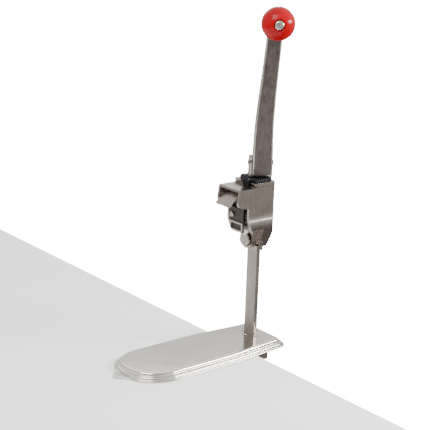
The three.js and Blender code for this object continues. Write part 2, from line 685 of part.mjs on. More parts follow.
function gearBox() {
  const inner = HEAD_HALF_WIDTH - HEAD_WALL;
  let room = box(HEAD_FRONT + HEAD_WALL, HEAD_REAR - REAR_WALL, -inner, inner, FLOOR_Z, HEAD_TOP + 2);
  for (const [, x, y] of PLATE_SCREWS) {
    room = room.subtract(rod('z', CORNER_POST, FLOOR_Z - 1, HEAD_TOP + 3, x, y, 16));
  }
  return room;
}

// U-shaped housing in front of the arm, round the pinion
function pinionHousing() {
  const shape = new THREE.Shape();
  shape.moveTo(HOUSING_RADIUS, SKIRT_Z + 6);
  shape.lineTo(-HOUSING_RADIUS, SKIRT_Z + 6);
  shape.absarc(0, SHAFT_Z, HOUSING_RADIUS, 180 * DEGREE, 360 * DEGREE, false);
  return prismX(shape, HOUSING_FRONT, ARM_FRONT + 2, 10);
}

// Rounds the casting's two rear corners
function rearRounding() {
  const outline = roundedRectangle(-HEAD_REAR, HEAD_REAR, -HEAD_BELLY, HEAD_BELLY, REAR_ROUNDING);
  return prismZ(outline, 0, plateTop + 1, 6);
}

function headBody() {
  const inner = HEAD_HALF_WIDTH - HEAD_WALL;
  let body = prismY(sideOutline(), -HEAD_BELLY - 2, HEAD_BELLY + 2, 6)
    .intersect(prismX(frontOutline(), 0, HEAD_REAR + 20, 6))
    .intersect(rearRounding());
  body = body.subtract(box(0, HEAD_FRONT, -inner, inner, SKIRT_Z - 30, HOOD_TOP - HOOD_ROOF));
  body = body.subtract(box(0, ARM_FRONT, -HEAD_BELLY - 2, HEAD_BELLY + 2, ARM_FOOT_Z - 5, SKIRT_Z - 0.01));
  body = body.add(pinionHousing());
  const collarHalf = ARM_FOOT_HALF_WIDTH - COLLAR_SIDE_STEP;
  const collar = roundedRectangle(BAR_X - COLLAR_LEAD, ARM_FOOT_REAR - COLLAR_REAR_STEP,
    -collarHalf, collarHalf, COLLAR_CORNER);
  body = body.add(prismZ(collar, COLLAR_Z, ARM_FOOT_Z + 1, 3));
  body = body.subtract(gearBox());
  body = body.subtract(rod('z', cavityRadius, barSocketTop + SPINDLE_FOOT_GAP - CAVITY_STEP,
    FLOOR_Z + PAST, SPINDLE_X, 0));
  body = body.subtract(rod('x', cavityRadius, pinionBack - GEAR_END_CLEARANCE,
    BAR_X - BAR_THICKNESS / 2 - BAR_WALL, 0, SHAFT_Z));
  body = body.subtract(rod('x', SHAFT_DIAMETER / 2 + BUSH_WALL + SEAT_GAP, 0, SPINDLE_X - 5,
    0, SHAFT_Z, 24));
  body = body.subtract(box(BAR_X - BAR_THICKNESS / 2 - SEAT_GAP, BAR_X + BAR_THICKNESS / 2 + SEAT_GAP,
    -BAR_WIDTH / 2 - SEAT_GAP, BAR_WIDTH / 2 + SEAT_GAP, COLLAR_Z - 1, barSocketTop));
  for (const z of PIN_LEVELS) {
    body = body.subtract(rod('y', PIN_DIAMETER / 2 + SEAT_GAP, -FAR, FAR, BAR_X, z, 16));
  }
  for (const [, x, y] of PLATE_SCREWS) {
    body = body.subtract(rod('z', PLATE_SCREW_DIAMETER / 2 + SEAT_GAP,
      plateTop - PLATE_SCREW_LENGTH - 1, HEAD_TOP + 2, x, y, 16));
  }
  body = body.subtract(rod('x', HOLDER_PIN_DIAMETER / 2 + SEAT_GAP,
    HEAD_FRONT - PAST, HEAD_FRONT + HEAD_WALL + PAST, HOLDER_PIN_Y, HOLDER_PIN_Z, 20));
  return piece('head_body', body, satinSteel);
}

function topPlate() {
  const outline = roundedRectangle(HEAD_FRONT, HEAD_REAR, -HEAD_HALF_WIDTH, HEAD_HALF_WIDTH, PLATE_CORNER);
  let plate = prismZ(outline, HEAD_TOP + SEAT_GAP, plateTop, 4).intersect(rearRounding());
  plate = plate.subtract(box(HEAD_FRONT - PAST, HEAD_FRONT + PLATE_REBATE, -HEAD_HALF_WIDTH - PAST,
    HEAD_HALF_WIDTH + PAST, HEAD_TOP, plateTop - PLATE_LIP));
  plate = plate.subtract(rod('z', SPINDLE_DIAMETER / 2 + BUSH_WALL + SEAT_GAP, HEAD_TOP, plateTop + PAST,
    SPINDLE_X, 0));
  for (const [, x, y] of PLATE_SCREWS) {
    plate = plate.subtract(countersunkHole(x, y, plateTop, PLATE_SCREW_HEAD,
      PLATE_SCREW_DIAMETER, PLATE_SCREW_LENGTH));
  }
  return piece('top_plate', plate, satinSteel);
}

// Plastic cap: a disc with one square corner and a hooked lug over the front edge
function topCap() {
  const from = plateTop + SEAT_GAP;
  const to = from + CAP_THICKNESS;
  const cornerX = HEAD_FRONT + CAP_CORNER_INSET;
  const cornerY = CAP_SIDE_INSET - HEAD_HALF_WIDTH;
  let cap = rod('z', CAP_RADIUS, from, to, SPINDLE_X, 0);
  cap = cap.add(prismZ(roundedRectangle(cornerX, SPINDLE_X, cornerY, 0, CAP_CORNER), from, to, 3));
  const lugHalf = CAP_LUG_LENGTH / 2;
  cap = cap.add(box(CAP_LUG_X, SPINDLE_X - CAP_NECK, CAP_LUG_Y - lugHalf - CAP_NECK_NEAR,
    CAP_LUG_Y + lugHalf + CAP_NECK_FAR, from, to));
  cap = cap.add(rod('y', CAP_LUG_RADIUS, CAP_LUG_Y - lugHalf, CAP_LUG_Y + lugHalf,
    CAP_LUG_X, CAP_LUG_Z, 24));
  cap = cap.add(box(HEAD_FRONT - CAP_TAB_THICKNESS, HEAD_FRONT - SEAT_GAP, CAP_LUG_Y - lugHalf,
    CAP_TAB_FAR_Y, HOOD_TOP + SEAT_GAP, to - CAP_TAB_DROP));
  cap = cap.subtract(rod('z', SPINDLE_DIAMETER / 2 + RUN_GAP, from - PAST, to + PAST, SPINDLE_X, 0));
  return piece('top_cap', cap, blackPlastic);
}

function bushes() {
  const bore = SPINDLE_DIAMETER / 2 + RUN_GAP;
  const lowerOuter = cavityRadius - SEAT_GAP;
  const flangeZ = FLOOR_Z + SEAT_GAP;
  const flangeTop = flangeZ + BUSH_FLANGE_THICKNESS;
  const lower = turned([
    [bore, lowerBushZ], [lowerOuter, lowerBushZ], [lowerOuter, flangeZ],
    [LOWER_BUSH_FLANGE / 2, flangeZ], [LOWER_BUSH_FLANGE / 2, flangeTop], [bore, flangeTop],
    [bore, lowerBushZ],
  ]);
  const outer = SPINDLE_DIAMETER / 2 + BUSH_WALL;
  const collarTop = HEAD_TOP;
  const collarFoot = collarTop - BUSH_FLANGE_THICKNESS;
  const upper = turned([
    [bore, collarFoot], [UPPER_BUSH_FLANGE / 2, collarFoot], [UPPER_BUSH_FLANGE / 2, collarTop],
    [outer, collarTop], [outer, plateTop], [bore, plateTop], [bore, collarFoot],
  ]);
  const shaftBore = SHAFT_DIAMETER / 2 + RUN_GAP;
  const drive = turned(ringProfile(shaftBore, SHAFT_DIAMETER / 2 + BUSH_WALL,
    HOUSING_FRONT, pinionBack - BUSH_END_GAP), 'x', 24);
  const group = new THREE.Group();
  const lowerMesh = piece('lower_bush', lower, bronze);
  lowerMesh.position.x = SPINDLE_X;
  const upperMesh = piece('upper_bush', upper, bronze);
  upperMesh.position.x = SPINDLE_X;
  const driveMesh = piece('drive_bush', drive, bronze);
  driveMesh.position.z = SHAFT_Z;
  group.add(lowerMesh, upperMesh, driveMesh);
  return group;
}

// Sheet under the hood, from the roof forwards and down
function guardPlate() {
  const roof = HOOD_TOP - HOOD_ROOF - SEAT_GAP;
  const bendX = HOOD_FRONT + GUARD_BEND;
  const farY = HEAD_HALF_WIDTH - HEAD_WALL - SEAT_GAP;
  const run = new THREE.Vector2(GUARD_FOOT_X - bendX, GUARD_FOOT_Z - roof).normalize();
  const side = new THREE.Vector2(-run.y, run.x).multiplyScalar(GUARD_THICKNESS);
  const outline = shapeOf([
    [HEAD_FRONT - GUARD_TAIL, roof], [bendX, roof], [GUARD_FOOT_X, GUARD_FOOT_Z],
    [GUARD_FOOT_X + side.x, GUARD_FOOT_Z + side.y],
    [bendX + side.x * GUARD_BEND_SPREAD, roof - GUARD_THICKNESS],
    [HEAD_FRONT - GUARD_TAIL, roof - GUARD_THICKNESS],
  ]);
  return piece('guard_plate', prismY(outline, GUARD_NEAR_Y, farY), satinSteel);
}

function knifeHolder() {
  const back = KNIFE_X - SEAT_GAP;
  const plateBack = HOLDER_FRONT + HOLDER_PLATE;
  const face = new THREE.Shape();
  face.moveTo(HOLDER_NEAR_Y, HOLDER_TOP_Z);
  face.lineTo(HOLDER_NEAR_Y, HOLDER_FOOT_Z + 1);
  face.lineTo(HOLDER_NEAR_Y + 1, HOLDER_FOOT_Z);
  face.lineTo(HOLDER_FAR_Y - HOLDER_TURN, HOLDER_FOOT_Z);
  face.quadraticCurveTo(HOLDER_FAR_Y + HOLDER_BULGE, HOLDER_LEDGE_Z - HOLDER_TURN, HOLDER_FAR_Y + 1,
    HOLDER_LEDGE_Z + 4);
  face.quadraticCurveTo(HOLDER_FAR_Y, HOLDER_TOP_Z - HOLDER_TURN, HOLDER_FAR_Y - HOLDER_STEP, HOLDER_TOP_Z);
  let holder = prismX(face, HOLDER_FRONT, plateBack, 6);
  holder = holder.subtract(box(HOLDER_FRONT - PAST, HOLDER_FRONT + HOLDER_RELIEF, HOLDER_NEAR_Y - PAST,
    HOLDER_FAR_Y + HOLDER_BULGE + PAST, HOLDER_LEDGE_Z, HOLDER_TOP_Z + PAST));
  holder = holder.subtract(box(HOLDER_FRONT - PAST, HOLDER_FRONT + HOLDER_POCKET,
    HOLDER_NEAR_Y + HOLDER_POCKET_EDGE, HOLDER_FAR_Y - HOLDER_POCKET_FAR,
    HOLDER_FOOT_Z + HOLDER_POCKET_FOOT, HOLDER_LEDGE_Z - HOLDER_POCKET_TOP));
  const clampFoot = KNIFE_SLOT_Z + KNIFE_SLOT_LENGTH + 1;
  holder = holder.add(box(plateBack - 1, back, KNIFE_Y - KNIFE_WIDTH / 2, HOLDER_FAR_Y - CLAMP_FAR,
    clampFoot, HOLDER_TOP_Z));
  holder = holder.add(box(plateBack - 1, HEAD_FRONT - SEAT_GAP, KNIFE_Y + KNIFE_WIDTH / 2 + BOSS_GAP,
    HOLDER_FAR_Y - BOSS_GAP, HOLDER_LEDGE_Z, HOLDER_TOP_Z));
  holder = holder.subtract(rod('x', HOLDER_PIN_DIAMETER / 2 + SEAT_GAP, 0, HEAD_FRONT,
    HOLDER_PIN_Y, HOLDER_PIN_Z, 20));
  return piece('knife_holder', holder, satinSteel);
}

function holderPin() {
  const r = HOLDER_PIN_DIAMETER / 2;
  const headFrom = HOLDER_FRONT + HOLDER_RELIEF - SEAT_GAP - HOLDER_PIN_HEAD_THICKNESS;
  const head = HOLDER_PIN_HEAD / 2;
  const end = HEAD_FRONT + HEAD_WALL - HOLDER_PIN_SHORT;
  const pin = turned([
    [0, headFrom], [head - HOLDER_PIN_CHAMFER, headFrom], [head, headFrom + HOLDER_PIN_CHAMFER],
    [head, headFrom + HOLDER_PIN_HEAD_THICKNESS], [r, headFrom + HOLDER_PIN_HEAD_THICKNESS],
    [r, end], [0, end],
  ], 'x', 24);
  pin.translate(0, HOLDER_PIN_Y, HOLDER_PIN_Z);
  return piece('holder_pin', pin, toolSteel);
}

function knife() {
  const half = KNIFE_WIDTH / 2;
  const blade = shapeOf([
    [KNIFE_Y, KNIFE_TIP_Z], [KNIFE_Y + half, KNIFE_TIP_Z + KNIFE_POINT], [KNIFE_Y + half, KNIFE_TOP_Z],
    [KNIFE_Y - half, KNIFE_TOP_Z], [KNIFE_Y - half, KNIFE_TIP_Z + KNIFE_POINT],
  ]);
  const slotHalf = KNIFE_SLOT_WIDTH / 2;
  const slot = roundedRectangle(KNIFE_Y - slotHalf, KNIFE_Y + slotHalf, KNIFE_SLOT_Z,
    KNIFE_SLOT_Z + KNIFE_SLOT_LENGTH, KNIFE_SLOT_CORNER);
  const body = prismX(blade, KNIFE_X, KNIFE_X + KNIFE_THICKNESS)
    .subtract(prismX(slot, KNIFE_X - PAST, KNIFE_X + KNIFE_THICKNESS + PAST, 3));
  return piece('knife', body, toolSteel);
}

// ---------- Drive ----------

// A closed skin over rings of equal count, the last joined to the first
function ringSkin(rings) {
  const count = rings[0].length;
  const indices = [];
  rings.forEach((ring, i) => {
    const start = i * count;
    const next = (i + 1) % rings.length * count;
    for (let k = 0; k < count; k += 1) {
      const side = (k + 1) % count;
      indices.push(start + k, start + side, next + side, start + k, next + side, next + k);
    }
  });
  const geometry = new THREE.BufferGeometry();
  geometry.setAttribute('position', new THREE.Float32BufferAttribute(rings.flat(2), 3));
  geometry.setIndex(indices);
  return geometry;
}

// A bevel gear on +Z whose pitch cone's apex is the origin, with a tooth on +X
function bevelGear(bore) {
  const heel = GEAR_PITCH_RADIUS;
  const back = heel + GEAR_BACK;
  const toeShare = 1 - GEAR_FACE / (heel * Math.SQRT2);
  const foot = [heel - TOOTH_DEDENDUM / Math.SQRT2, heel + TOOTH_DEDENDUM / Math.SQRT2];
  const tip = [heel + TOOTH_ADDENDUM / Math.SQRT2, heel - TOOTH_ADDENDUM / Math.SQRT2];
  const tooth = [
    [-TOOTH_FOOT_SHARE / 2, foot], [-TOOTH_TIP_SHARE / 2, tip],
    [TOOTH_TIP_SHARE / 2, tip], [TOOTH_FOOT_SHARE / 2, foot],
  ];
  const ring = (place) => Array.from({ length: GEAR_TEETH }, (_, k) => tooth.map(([share, edge]) => {
    const angle = (k + share) / GEAR_TEETH * 360 * DEGREE;
    const [radius, height] = place(edge);
    return [radius * Math.cos(angle), radius * Math.sin(angle), height];
  })).flat();
  return ringSkin([
    ring(() => [bore, foot[1] * toeShare]),
    ring(([radius, height]) => [radius * toeShare, height * toeShare]),
    ring((edge) => edge),
    ring(() => [foot[0], back]),
    ring(() => [bore, back]),
  ]);
}

function spindleGroup() {
  const group = new THREE.Group();
  const neck = SPINDLE_NECK / 2;
  const tenon = SPINDLE_TENON / 2;
  const body = SPINDLE_DIAMETER / 2;
  const foot = barSocketTop + SPINDLE_FOOT_GAP;
  const tenonTop = HINGE_Z - HINGE_DIAMETER / 2 - TENON_SHORT;
  const bar = solid(turned([
    [0, foot], [neck, foot], [neck, gearTopZ + SEAT_GAP], [body, gearTopZ + SEAT_GAP],
    [body, hubFoot - SEAT_GAP], [tenon, hubFoot - SEAT_GAP], [tenon, tenonTop], [0, tenonTop],
  ])).subtract(box(-FAR, tongueLeft + SEAT_GAP, -FAR, FAR, LEVER_FOOT_Z - 1, tenonTop + PAST));
  const spindle = piece('spindle', bar, toolSteel);
  spindle.rotation.z = CRANK_ANGLE * DEGREE;
  group.add(spindle);
  const gear = piece('spindle_gear', bevelGear(neck + SEAT_GAP), toolSteel);
  gear.position.z = SHAFT_Z;
  group.add(gear);
  const clipTop = HEAD_TOP - BUSH_FLANGE_THICKNESS - CLIP_GAP;
  group.add(piece('spindle_clip', turned(ringProfile(body + SEAT_GAP, body + CLIP_WALL,
    clipTop - CLIP_THICKNESS, clipTop)), toolSteel));
  return group;
}

function driveWheel() {
  const points = [];
  for (let k = 0; k < WHEEL_TEETH; k += 1) {
    for (const [share, depth] of [[0, WHEEL_TOOTH_DEPTH], [TOOTH_RISE, 0], [TOOTH_FALL, 0]]) {
      const angle = (k + share) / WHEEL_TEETH * 360 * DEGREE;
      const radius = WHEEL_DIAMETER / 2 - depth;
      points.push([radius * Math.cos(angle), radius * Math.sin(angle)]);
    }
  }
  const wheel = prismX(shapeOf(points), WHEEL_FRONT, WHEEL_FRONT + WHEEL_THICKNESS)
    .subtract(rod('x', SHAFT_DIAMETER / 2 + SEAT_GAP, 0, 100, 0, 0, 24));
  return piece('drive_wheel', wheel, toolSteel);
}

function wheelGroup() {
  const group = new THREE.Group();
  const r = SHAFT_DIAMETER / 2;
  const wheelBack = WHEEL_FRONT + WHEEL_THICKNESS;
  group.add(driveWheel());
  group.add(piece('drive_shaft', rod('x', r, WHEEL_FRONT - SHAFT_PROUD, SPINDLE_X - SHAFT_END,
    0, 0, 24), toolSteel));
  group.add(piece('wheel_washer', turned(ringProfile(r + SEAT_GAP, NUT_DIAMETER / 2,
    wheelBack + WASHER_GAP, HOUSING_FRONT - SEAT_GAP), 'x', 24), toolSteel));
  const pinion = piece('drive_pinion', bevelGear(r + SEAT_GAP), toolSteel);
  pinion.rotation.set(0, -90 * DEGREE, 180 / GEAR_TEETH * DEGREE);
  pinion.position.x = SPINDLE_X;
  group.add(pinion);
  return group;
}

// ---------- Crank ----------

const hubFoot = plateTop + SEAT_GAP + CAP_THICKNESS + HUB_GAP;
const leverLeft = LEVER_MIDDLE - LEVER_WIDTH / 2;
const leverRight = LEVER_MIDDLE + LEVER_WIDTH / 2;
const tongueLeft = leverLeft + LEVER_WALL + SEAT_GAP;
const tongueRight = leverRight - LEVER_WALL - SEAT_GAP;
const cheekRight = leverLeft - SEAT_GAP;
const hubFront = -(LEVER_FRONT - LEVER_WALL - SEAT_GAP - HUB_STOP_GAP);

// Lever outline from the front: straight, then leaning over to the knob
function leverOutline(inset) {
  const halfFoot = LEVER_WIDTH / 2 - inset;
  const halfTip = LEVER_TIP_WIDTH / 2 - inset;
  const bow = LEVER_WAIST_Z + LEVER_BOW;
  const shape = new THREE.Shape();
  const footZ = LEVER_WEB_FOOT_Z - (inset ? 1 : 0);
  shape.moveTo(LEVER_MIDDLE - halfFoot, footZ);
  shape.lineTo(LEVER_MIDDLE + halfFoot, footZ);
  shape.lineTo(LEVER_MIDDLE + halfFoot, LEVER_PARALLEL_Z);
  shape.lineTo(LEVER_MIDDLE + halfFoot - LEVER_DRAW_IN, LEVER_WAIST_Z - LEVER_STRAIGHT);
  shape.bezierCurveTo(LEVER_MIDDLE + halfFoot - LEVER_WAIST_DRAW, LEVER_WAIST_Z,
    LEVER_TIP_MIDDLE + halfTip - LEVER_LEAN, bow, LEVER_TIP_MIDDLE + halfTip, KNOB_Z);
  shape.absarc(LEVER_TIP_MIDDLE, KNOB_Z, halfTip, 0, 180 * DEGREE, false);
  shape.bezierCurveTo(LEVER_TIP_MIDDLE - halfTip - LEVER_LEAN, bow,
    LEVER_MIDDLE - halfFoot + LEVER_WAIST_DRAW, LEVER_WAIST_Z,
    LEVER_MIDDLE - halfFoot + LEVER_DRAW_IN, LEVER_WAIST_Z - LEVER_STRAIGHT);
  shape.lineTo(LEVER_MIDDLE - halfFoot, LEVER_PARALLEL_Z);
  return shape;
}

function lever() {
  const back = LEVER_DEPTH - LEVER_FRONT;
  const blank = new THREE.ExtrudeGeometry(leverOutline(0), {
    depth: LEVER_DEPTH - LEVER_BEVEL - 0.6, bevelEnabled: true, bevelSize: LEVER_BEVEL,
    bevelThickness: LEVER_BEVEL, bevelOffset: -LEVER_BEVEL, bevelSegments: 2, curveSegments: 8,
  });
  blank.rotateX(90 * DEGREE);
  blank.translate(0, back - 0.6, 0);
  let body = solid(blank);
  body = body.subtract(box(-FAR, FAR, back, back + FAR, 0, KNOB_Z + FAR));
  const hollow = prismY(leverOutline(LEVER_WALL), LEVER_WALL - LEVER_FRONT, back + 5);
  body = body.subtract(hollow);
  body = body.subtract(box(-FAR, FAR, LEVER_WALL - LEVER_FRONT, back + FAR, 0, LEVER_FOOT_Z));
  const wedge = new THREE.Shape([
    new THREE.Vector2(back + 4, HINGE_Z + LEVER_THIN_FROM),
    new THREE.Vector2(back, HINGE_Z + LEVER_THIN_FROM),
    new THREE.Vector2(back - (LEVER_DEPTH - LEVER_TIP_DEPTH), KNOB_Z - LEVER_THIN_FROM),
    new THREE.Vector2(back - (LEVER_DEPTH - LEVER_TIP_DEPTH), KNOB_Z + FAR),
    new THREE.Vector2(back + 4, KNOB_Z + FAR),
  ]);
  body = body.subtract(prismX(wedge, -FAR, FAR));
  body = body.subtract(rod('x', HINGE_DIAMETER / 2 + RUN_GAP, -FAR, FAR, 0, HINGE_Z, 24));
  body = body.subtract(rod('y', STUD_DIAMETER / 2 + SEAT_GAP, -LEVER_FRONT - PAST, back, LEVER_TIP_MIDDLE,
    KNOB_Z, 24));
  return piece('lever', body, forgedSteel);
}

function crankHub() {
  const profile = (radius, rear) => {
    const shape = new THREE.Shape();
    shape.moveTo(-radius, hubFoot);
    shape.lineTo(rear, hubFoot);
    shape.lineTo(radius, HINGE_Z - HUB_SHOULDER);
    shape.absarc(0, HINGE_Z, radius, 0, 180 * DEGREE, false);
    return shape;
  };
  let hub = prismX(profile(-hubFront, HUB_REAR), tongueLeft, tongueRight, 8);
  hub = hub.add(prismX(profile(CHEEK_RADIUS, HUB_REAR), cheekRight - CHEEK_WIDTH, cheekRight, 8));
  hub = hub.add(box(cheekRight - 1, tongueLeft + 1, hubFront, HUB_REAR - 1, hubFoot,
    LEVER_FOOT_Z - HUB_FOOT_GAP));
  hub = hub.subtract(rod('z', SPINDLE_TENON / 2 + SEAT_GAP, hubFoot - PAST,
    HINGE_Z - HINGE_DIAMETER / 2 - SOCKET_SHORT, 0, 0, 24));
  hub = hub.subtract(rod('x', HINGE_DIAMETER / 2 + SEAT_GAP, -FAR, FAR, 0, HINGE_Z, 24));
  return piece('crank_hub', hub, satinSteel);
}

function hingePin() {
  const from = cheekRight - CHEEK_WIDTH - PIN_END_LEFT;
  return piece('hinge_pin', rod('x', HINGE_DIAMETER / 2, from, leverRight + PIN_END_RIGHT,
    0, HINGE_Z, 24), toolSteel);
}

function knobStud() {
  const back = LEVER_WALL - LEVER_FRONT + SEAT_GAP;
  const front = -LEVER_FRONT - WASHER_THICKNESS - SEAT_GAP * 2 - KNOB_LENGTH;
  const r = STUD_DIAMETER / 2;
  const head = STUD_HEAD / 2;
  const stud = turned([
    [0, front - STUD_PROUD], [head - STUD_CHAMFER, front - STUD_PROUD], [head, front + STUD_CHAMFER_DEPTH],
    [head, front + KNOB_RECESS_DEPTH - SEAT_GAP], [r, front + KNOB_RECESS_DEPTH - SEAT_GAP],
    [r, back], [head, back], [head, back + STUD_RIVET], [0, back + STUD_RIVET],
  ], 'y', 24);
  stud.translate(LEVER_TIP_MIDDLE, 0, KNOB_Z);
  return piece('knob_stud', stud, toolSteel);
}

function knobWasher() {
  const back = -LEVER_FRONT - SEAT_GAP;
  const ring = turned(ringProfile(STUD_DIAMETER / 2 + SEAT_GAP, WASHER_DIAMETER / 2,
    back - WASHER_THICKNESS, back), 'y', 24);
  ring.translate(LEVER_TIP_MIDDLE, 0, KNOB_Z);
  return piece('knob_washer', ring, toolSteel);
}

function knob() {
  const back = -LEVER_FRONT - WASHER_THICKNESS - SEAT_GAP * 2;
  const front = back - KNOB_LENGTH;
  const middle = (front + back) / 2;
  const bore = STUD_DIAMETER / 2 + RUN_GAP;
  const recess = KNOB_RECESS_DIAMETER / 2;
  const profile = [[bore, back]];
  const end = Math.asin(KNOB_LENGTH / 2 / KNOB_RADIUS);
  for (let i = 0; i <= KNOB_STEPS; i += 1) {
    const angle = end - i / KNOB_STEPS * 2 * end;
    profile.push([KNOB_RADIUS * Math.cos(angle), middle + KNOB_RADIUS * Math.sin(angle)]);
  }
  profile.push([recess, front], [recess, front + KNOB_RECESS_DEPTH], [bore, front + KNOB_RECESS_DEPTH]);
  profile.push([bore, back]);
  const ball = turned(profile.reverse(), 'y', 32);
  ball.translate(LEVER_TIP_MIDDLE, 0, KNOB_Z);
  return piece('knob', ball, redPlastic);
}

// ---------- Assembly ----------

function assemble() {
  const opener = new THREE.Group();
  opener.add(basePlate(), basePad(), barGuide(), brake());
  for (const [name, x, y] of GUIDE_SCREWS) {
    opener.add(countersunkScrew(name, x, y, PLATEAU_HEIGHT, GUIDE_SCREW_HEAD,
      GUIDE_SCREW_DIAMETER, GUIDE_SCREW_LENGTH));
  }
  opener.add(slideBar(), ...barPins(), headBody(), topPlate(), topCap(), bushes());
  for (const [name, x, y] of PLATE_SCREWS) {
    opener.add(countersunkScrew(name, x, y, plateTop, PLATE_SCREW_HEAD,
      PLATE_SCREW_DIAMETER, PLATE_SCREW_LENGTH));
  }
  opener.add(guardPlate(), knifeHolder(), holderPin(), knife());
  const wheel = wheelGroup();
  wheel.position.z = SHAFT_Z;
  opener.add(wheel);
  const spindle = spindleGroup();
  spindle.position.x = SPINDLE_X;
  opener.add(spindle);
  const crank = new THREE.Group();
  crank.position.x = SPINDLE_X;
  crank.rotation.z = CRANK_ANGLE * DEGREE;
  crank.add(crankHub(), hingePin(), lever(), knobStud(), knobWasher(), knob());
  opener.add(crank);
  return opener;
}

export default assemble();
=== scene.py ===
"""Bench can opener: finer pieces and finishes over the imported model."""

import json
import math

import bmesh
import bpy
from bpy.props import FloatProperty, FloatVectorProperty, PointerProperty
from bpy.types import Operator, Panel, PropertyGroup
from mathutils import Matrix, Vector


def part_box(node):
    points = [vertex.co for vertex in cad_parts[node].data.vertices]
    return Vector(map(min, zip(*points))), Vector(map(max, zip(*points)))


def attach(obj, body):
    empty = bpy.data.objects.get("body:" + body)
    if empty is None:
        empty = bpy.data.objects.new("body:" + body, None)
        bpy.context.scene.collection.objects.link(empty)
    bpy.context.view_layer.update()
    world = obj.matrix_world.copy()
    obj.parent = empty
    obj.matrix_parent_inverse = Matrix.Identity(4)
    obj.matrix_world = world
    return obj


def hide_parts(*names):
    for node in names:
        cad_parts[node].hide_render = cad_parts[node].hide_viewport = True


bl_info = {
    "name": "Bench Can Opener",
    "version": (1, 0, 0),
    "blender": (4, 5, 0),
    "location": "View3D > Sidebar > Can Opener",
    "description": "Builds the pieces and finishes of a bench can opener",
    "category": "Add Mesh",
}

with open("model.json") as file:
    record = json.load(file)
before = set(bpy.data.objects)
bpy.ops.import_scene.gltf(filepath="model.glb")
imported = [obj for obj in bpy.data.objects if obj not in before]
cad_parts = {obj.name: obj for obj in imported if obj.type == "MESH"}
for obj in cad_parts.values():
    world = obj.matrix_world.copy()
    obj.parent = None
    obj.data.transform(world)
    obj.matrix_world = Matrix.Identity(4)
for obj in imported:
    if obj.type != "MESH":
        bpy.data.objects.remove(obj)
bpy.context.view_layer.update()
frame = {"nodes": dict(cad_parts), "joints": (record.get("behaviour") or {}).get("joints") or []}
MM = 0.001

SEAT_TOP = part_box("base_plate")[1].z
BAR_LOW, BAR_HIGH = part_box("slide_bar")
LEVER_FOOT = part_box("lever")[0].z
KNOB_LOW, KNOB_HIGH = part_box("knob")
JOINTS = {joint["name"]: joint for joint in frame["joints"]}
HINGE = Vector(JOINTS["lever_fold"]["pos_m"])
ACROSS = -Vector(JOINTS["lever_fold"]["axis"])
CRANK = (Matrix.Translation((HINGE.x, HINGE.y, 0))
         @ ACROSS.to_track_quat("X", "Z").to_matrix().to_4x4())


# ---------- Sizes and colours ----------

def length(name, description, default):
    return FloatProperty(name=name, description=description, default=default, min=0.0,
                         unit="LENGTH", precision=5)


def colour(name, description, default):
    return FloatVectorProperty(name=name, description=description, default=default, size=3, min=0.0,
                               max=1.0, subtype="COLOR")


class OPENER_PG_sizes(PropertyGroup):
    """Sizes of the finer pieces."""
    sheet: length("Sheet", "Thickness of the pressed base", 2.0 * MM)
    shoulder: length("Shoulder", "Rounding of the can seat's edge", 3.5 * MM)
    ledge_drop: length("Ledge Drop", "Height of the upper step of the base's wall", 4.6 * MM)
    wall_out: length("Wall", "Foot of the base's wall beyond the seat's edge", 8.2 * MM)
    flange: length("Flange", "Edge of the flange beyond the seat's edge", 11.0 * MM)
    ear_hole: length("Ear Hole", "Diameter of the screw hole at the nose", 5.0 * MM)
    edge: length("Edge", "Rounding of cast and cut edges", 0.55 * MM)
    lever_round: length("Lever Edge", "Rounding of the lever's front edges", 2.7 * MM)
    lever_wall: length("Lever Wall", "Thickness of the lever's channel", 3.4 * MM)
    knob_recess: length("Knob Recess", "Diameter of the recess in the knob's end", 13.6 * MM)
    spring_wire: length("Spring Wire", "Wire diameter of the brake spring", 0.9 * MM)
    screw_slot: length("Screw Slot", "Width of the slot in a screw's head", 0.8 * MM)


class OPENER_PG_finishes(PropertyGroup):
    """Colours of the finishes."""
    polished: colour("Polished Steel", "Pressed base", (0.60, 0.575, 0.53))
    satin: colour("Satin Steel", "Head casting and fittings", (0.33, 0.287, 0.262))
    bar: colour("Bar Steel", "Slide bar and guide", (0.28, 0.25, 0.222))
    # The cast colour is painted shade: it darkens the knife holder's recessed faces that face the can.
    cast: colour("Recess Shade", "Painted shade in the knife holder's recesses", (0.07, 0.061, 0.053))
    forged: colour("Forged Steel", "Face of the lever", (0.125, 0.104, 0.097))
    # The edge colour is ground steel on the knife and stud, and a painted highlight on the lever's
    # rounded edges.
    edge: colour("Bright Edge", "Knife and stud steel, and painted highlight on the lever's rounded edges", (0.62, 0.59, 0.53))
    machined: colour("Machined Steel", "Knife, wheel, pins and screws", (0.36, 0.33, 0.29))
    bronze: colour("Bronze", "Bushes and brake shoe", (0.55, 0.34, 0.14))
    plastic: colour("Black Plastic", "Cap on the head", (0.004, 0.004, 0.006))
    rubber: colour("Rubber", "Pad under the seat", (0.02, 0.02, 0.021))
    knob: colour("Knob Red", "Ball knob", (0.36, 0.0, 0.004))
    bench: colour("Bench", "Bench top under the opener", (0.99, 0.992, 1.0))


# ---------- Finishes ----------

NOISE_LOW = 0.3
NOISE_HIGH = 0.7


